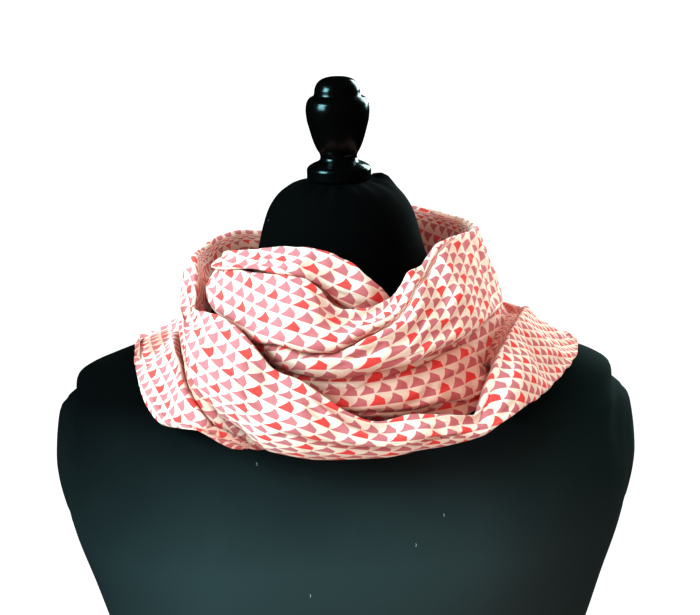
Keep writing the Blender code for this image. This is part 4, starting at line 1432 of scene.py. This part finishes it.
# %% A Geometry Nodes tree, and the plain mesh it makes
class Recipe(Tree):
    """A Geometry Nodes tree under construction. Its inputs are named with their kinds."""

    def __init__(self, name, **kinds):
        super().__init__(bpy.data.node_groups.new(name, "GeometryNodeTree"))
        socket = self.tree.interface.new_socket
        self.inputs = {
            key: socket(key, in_out="INPUT", socket_type="NodeSocket" + kind)
            for key, kind in kinds.items()
        }
        socket("made", in_out="OUTPUT", socket_type="NodeSocketGeometry")
        self.given = self.tree.nodes.new("NodeGroupInput").outputs
        self.result = self.tree.nodes.new("NodeGroupOutput").inputs["made"]

    def finished(self, shape):
        """Ends the tree: the shape as real mesh, in the material that was given."""
        real = self.node("GeometryNodeRealizeInstances", {"Geometry": shape})
        values = {"Geometry": real, "Material": self.given["finish"]}
        feed(self.result, self.node("GeometryNodeSetMaterial", values))

    def mesh(self, name, start, **values):
        """A plain mesh object from the tree, run on a starting mesh with these input values."""
        base = in_scene(name + "_start", start)
        modifier = base.modifiers.new(name, "NODES")
        modifier.node_group = self.tree
        for key, value in values.items():
            modifier[self.inputs[key].identifier] = value
        graph = bpy.context.evaluated_depsgraph_get()
        mesh = bpy.data.meshes.new_from_object(base.evaluated_get(graph))
        bpy.data.objects.remove(base)
        mesh.name = name
        return in_scene(name, mesh)


print("recipes end in Realize Instances and Set Material")

# %% Lint: its amount, its fibres and their finish
LINT_EACH_SQUARE_METRE = 150
LINT_SEED = 4
FIBRE_BEND = 0.0011  # radius of its arc, in metres
FIBRE_SWEEP = 1.9  # radians of that arc
FIBRE_THICK = 0.00016  # its own radius
SMALLEST, LARGEST = 0.3, 1.3
LINT_SHADE, LINT_GREY, LINT_PALE = eye(96, 108, 110), eye(150, 160, 160), eye(200, 205, 205)


def lint_finish():
    finish = Finish("lint", LINT_GREY, roughness=0.9)
    patches = finish.noise(finish.here(), scale=40, detail=1)
    feed(finish.inputs["Base Color"], finish.mix(patches, LINT_SHADE, LINT_PALE))
    return finish.material


print(f"a fibre is {FIBRE_BEND * FIBRE_SWEEP / MM:.1f} mm long before it is sized")


# %% Lint scattered over the jersey
def lint_recipe():
    """The recipe that lays fibres on the faces it is given."""
    recipe = Recipe("lint", cloth="Geometry", density="Float", seed="Int", finish="Material")
    given, node = recipe.given, recipe.node
    seed = given["seed"]
    values = {"Mesh": given["cloth"], "Density": given["density"], "Seed": seed}
    spread = node("GeometryNodeDistributePointsOnFaces", values, output="Points")
    values = {"Resolution": 5, "Radius": FIBRE_BEND, "Sweep Angle": FIBRE_SWEEP}
    arc = node("GeometryNodeCurveArc", values)
    thread = node("GeometryNodeCurvePrimitiveCircle", {"Resolution": 4, "Radius": FIBRE_THICK})
    values = {"Curve": arc, "Profile Curve": thread, "Fill Caps": True}
    fibre = node("GeometryNodeCurveToMesh", values)
    angle = node("FunctionNodeRandomValue", {2: 0, 3: 2 * math.pi, "Seed": seed}, output=1)
    values = {2: SMALLEST, 3: LARGEST, "ID": 1, "Seed": seed}
    size = node("FunctionNodeRandomValue", values, output=1)
    turned = node("FunctionNodeEulerToRotation", {0: node("ShaderNodeCombineXYZ", {"Z": angle})})
    values = {"Rotation": spread.node.outputs["Rotation"], "Rotate By": turned}
    turn = node("FunctionNodeRotateRotation", values, {"rotation_space": "LOCAL"})
    values = {"Points": spread, "Instance": fibre, "Rotation": turn, "Scale": size}
    recipe.finished(node("GeometryNodeInstanceOnPoints", values))
    return recipe


lint = lint_recipe().mesh(
    "lint",
    dress_form.data.copy(),
    density=LINT_EACH_SQUARE_METRE,
    seed=LINT_SEED,
    finish=lint_finish(),
)
print(f"lint: {len(lint.data.polygons)} faces")

# %% [markdown]
# ## The knob
# A wood turner shapes the knob by its silhouette. Geometry Nodes can do the same: the outline's
# points say how high and how wide each ring is, and a circle is swept along the axis and scaled
# to that width. The recipe takes the number of sides and the finish as named inputs.

# %% Silhouette of the knob, in millimetres from its foot
Turning = namedtuple("Turning", "radius height")
FINIAL = table(
    Turning,
    (21.6, 0.0), (22.2, 1.0), (22.2, 7.0), (21.4, 9.1), (18.8, 11.0), (13.4, 13.7),
    (12.6, 15.9), (13.0, 18.0), (15.0, 21.5), (17.6, 27.9), (20.0, 36.2), (21.5, 42.4),
    (22.0, 48.4), (21.4, 53.2), (19.4, 56.7), (16.4, 58.5), (15.9, 59.8), (15.6, 62.5),
    (14.2, 66.2), (11.6, 68.9), (8.0, 70.5), (6.2, 70.9),
)
KNOB_FOOT = 700.6  # height of its underside
KNOB_SIDES = 96
KNOB_RINGS = 90
print(f"the knob is {2 * max(row.radius for row in FINIAL):.1f} mm wide")

# %% Black lacquer
LACQUER = eye(5, 5, 5)
GLOSSIEST, SMEARED = 0.14, 0.26  # roughness where the lacquer is clean, and where it is handled
SMEAR_DEPTH = 0.0002  # metres


def lacquer():
    gloss = {"Specular IOR Level": 0.3}
    finish = Finish("black_lacquer", LACQUER, roughness=GLOSSIEST, constants=gloss)
    place = finish.here()
    smears = finish.noise(place, scale=60, detail=3)
    feed(finish.inputs["Roughness"], smears * (SMEARED - GLOSSIEST) + GLOSSIEST)
    finish.bump(finish.noise(place, scale=220, detail=2), strength=0.15, depth=SMEAR_DEPTH)
    return finish.material


black_lacquer = lacquer()
print(f"lacquer: {len(black_lacquer.node_tree.nodes)} nodes")


# %% Knob turned from its silhouette
def turning_recipe():
    """The recipe that sweeps a circle along the axis, as wide as the silhouette says."""
    recipe = Recipe("turned_knob", silhouette="Geometry", sides="Int", finish="Material")
    given, node = recipe.given, recipe.node
    line = node("GeometryNodeMeshToCurve", {"Mesh": given["silhouette"]})
    place = node("GeometryNodeInputPosition")
    width = recipe.part(place, 0).socket
    line = node("GeometryNodeSetCurveRadius", {"Curve": line, "Radius": width})
    axis = node("ShaderNodeCombineXYZ", {"Z": recipe.part(place, 2)})
    line = node("GeometryNodeSetPosition", {"Geometry": line, "Position": axis})
    circle = node("GeometryNodeCurvePrimitiveCircle", {"Radius": 1, "Resolution": given["sides"]})
    values = {
        "Curve": line,
        "Profile Curve": circle,
        "Scale": node("GeometryNodeInputRadius"),
        "Fill Caps": True,
    }
    swept = node("GeometryNodeCurveToMesh", values)
    recipe.finished(node("GeometryNodeSetShadeSmooth", {"Geometry": swept}))
    return recipe


def silhouette():
    """The knob's outline as a mesh of edges, half in the plane y = 0."""
    heights = np.array([turning.height for turning in FINIAL])
    fine = np.unique(np.concatenate([heights, np.linspace(0, heights[-1], KNOB_RINGS)]))
    radius = eased(fine, heights, [turning.radius for turning in FINIAL])
    points = [(r * MM, 0, (KNOB_FOOT + h) * MM) for r, h in zip(radius, fine)]
    outline = bpy.data.meshes.new("silhouette")
    outline.from_pydata(points, [(i, i + 1) for i in range(len(points) - 1)], [])
    return outline


knob = turning_recipe().mesh("knob", silhouette(), sides=KNOB_SIDES, finish=black_lacquer)
print(f"knob: {len(knob.data.polygons)} faces, {knob.dimensions.z / MM:.1f} mm high")

# %% [markdown]
# ## Studio
# A studio cove is a white floor that curves up into a wall, so that no line shows behind the
# form. It is lit past white, and only the camera sees it, so it doesn't wash out the shade.

# %% White cove
Cove = namedtuple("Cove", "radius height")
COVE = (Cove(8, 0), Cove(10, 0.3), Cove(11.4, 1.2), Cove(12, 2.6), Cove(12, 12))  # metres
COVE_SIDES = 64
COVE_GLOW = 1.1


def make_cove():
    """A round white floor that curves up into a wall, seen by the camera alone."""
    glow = {"Specular IOR Level": 0, "Emission Color": WHITE, "Emission Strength": COVE_GLOW}
    finish = Finish("white_cove", (0, 0, 0), roughness=1.0, constants=glow)
    turn = np.linspace(0, 2 * math.pi, COVE_SIDES, endpoint=False)
    points = [
        (ring.radius * math.cos(t), ring.radius * math.sin(t), ring.height)
        for ring in COVE
        for t in turn
    ]
    open_above = ring_faces(len(COVE), COVE_SIDES)[:-1]
    cove = object_from("cove", points, open_above, finish.material)
    cove.visible_diffuse = False
    cove.visible_glossy = False
    cove.visible_shadow = False


make_cove()
print(f"cove: {2 * COVE[-1].radius} m across")

# %% [markdown]
# ## Light
# The shade in the folds is warm, because light there has bounced off pink cloth many times: an
# even warm sky gives that glow at little cost. A large soft window on the left and a lamp behind
# on the right are cooler, and bring the lit side back to white.

# %% Window, lamp and sky
WINDOW = {"place": (-1.8, -0.95, 1.5), "size": 1.0, "power": 98, "colour": (0.43, 0.94, 1.0)}
LAMP_BEHIND = {"place": (1.2, 1.6, 1.3), "size": 1.2, "power": 60, "colour": (0.72, 1.0, 1.0)}
SKY_ABOVE = (1.33, 1.12, 1.02)
SKY_BELOW = (1.05, 0.87, 0.80)
SKY_FROM, SKY_TO = -0.6, 0.8  # heights on the sky's ball between which its colours blend
VIEW_GAMMA = 0.82  # below 1, the middle tones are deeper


def soft_light(name, place, size, power, colour):
    """A square area light that faces the scarf."""
    data = bpy.data.lights.new(name, "AREA")
    data.size = size
    data.energy = power
    data.color = colour
    lamp = in_scene(name, data)
    lamp.location = place
    lamp.rotation_euler = (AIM - Vector(place)).to_track_quat("-Z", "Y").to_euler()


def make_sky():
    """A warm sky that is brighter above than below, and isn't seen in the lacquer."""
    sky = bpy.data.worlds.new("sky")
    sky.use_nodes = True
    bpy.context.scene.world = sky
    tree = Tree(sky.node_tree)
    up = tree.part(tree.node("ShaderNodeTexCoord"), 2)
    values = {"Value": up, "From Min": SKY_FROM, "From Max": SKY_TO}
    share = tree.node("ShaderNodeMapRange", values)
    colour = tree.mix(share, SKY_BELOW, SKY_ABOVE)
    feed(sky.node_tree.nodes["Background"].inputs["Color"], colour)
    sky.cycles_visibility.glossy = False


soft_light("window", **WINDOW)
soft_light("back", **LAMP_BEHIND)
make_sky()
bpy.context.scene.view_settings.view_transform = "Standard"
bpy.context.scene.view_settings.gamma = VIEW_GAMMA
print(f"a window of {WINDOW['power']} W and a lamp of {LAMP_BEHIND['power']} W")

# %% [markdown]
# ## Onto the frame
# The part has no joints, so every piece rides on its one body. Each sheet of cloth hides the
# CAD walls it stands for, and the form and the knob hide theirs.

# %% Ride and replace
STRETCHES = {
    "scarf_winding": (
        "outer_left", "outer_back", "outer_right", "outer_front", "collar_back", "upper_front"
    ),
    "scarf_upper_lip": ("upper_lip",),
    "scarf_inner_front": ("inner_front",),
}
for name, piece in scarf.items():
    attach(piece, "root")
    if name in STRETCHES:
        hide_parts(*STRETCHES[name])
    line = bands[name][0][:, len(ACROSS) // 2] * MM
    area = area_of(piece)
for piece, slot in ((dress_form, "jersey"), (lint, "jersey"), (knob, "lacquer")):
    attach(piece, "root")
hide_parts("form_torso")
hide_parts("form_finial")
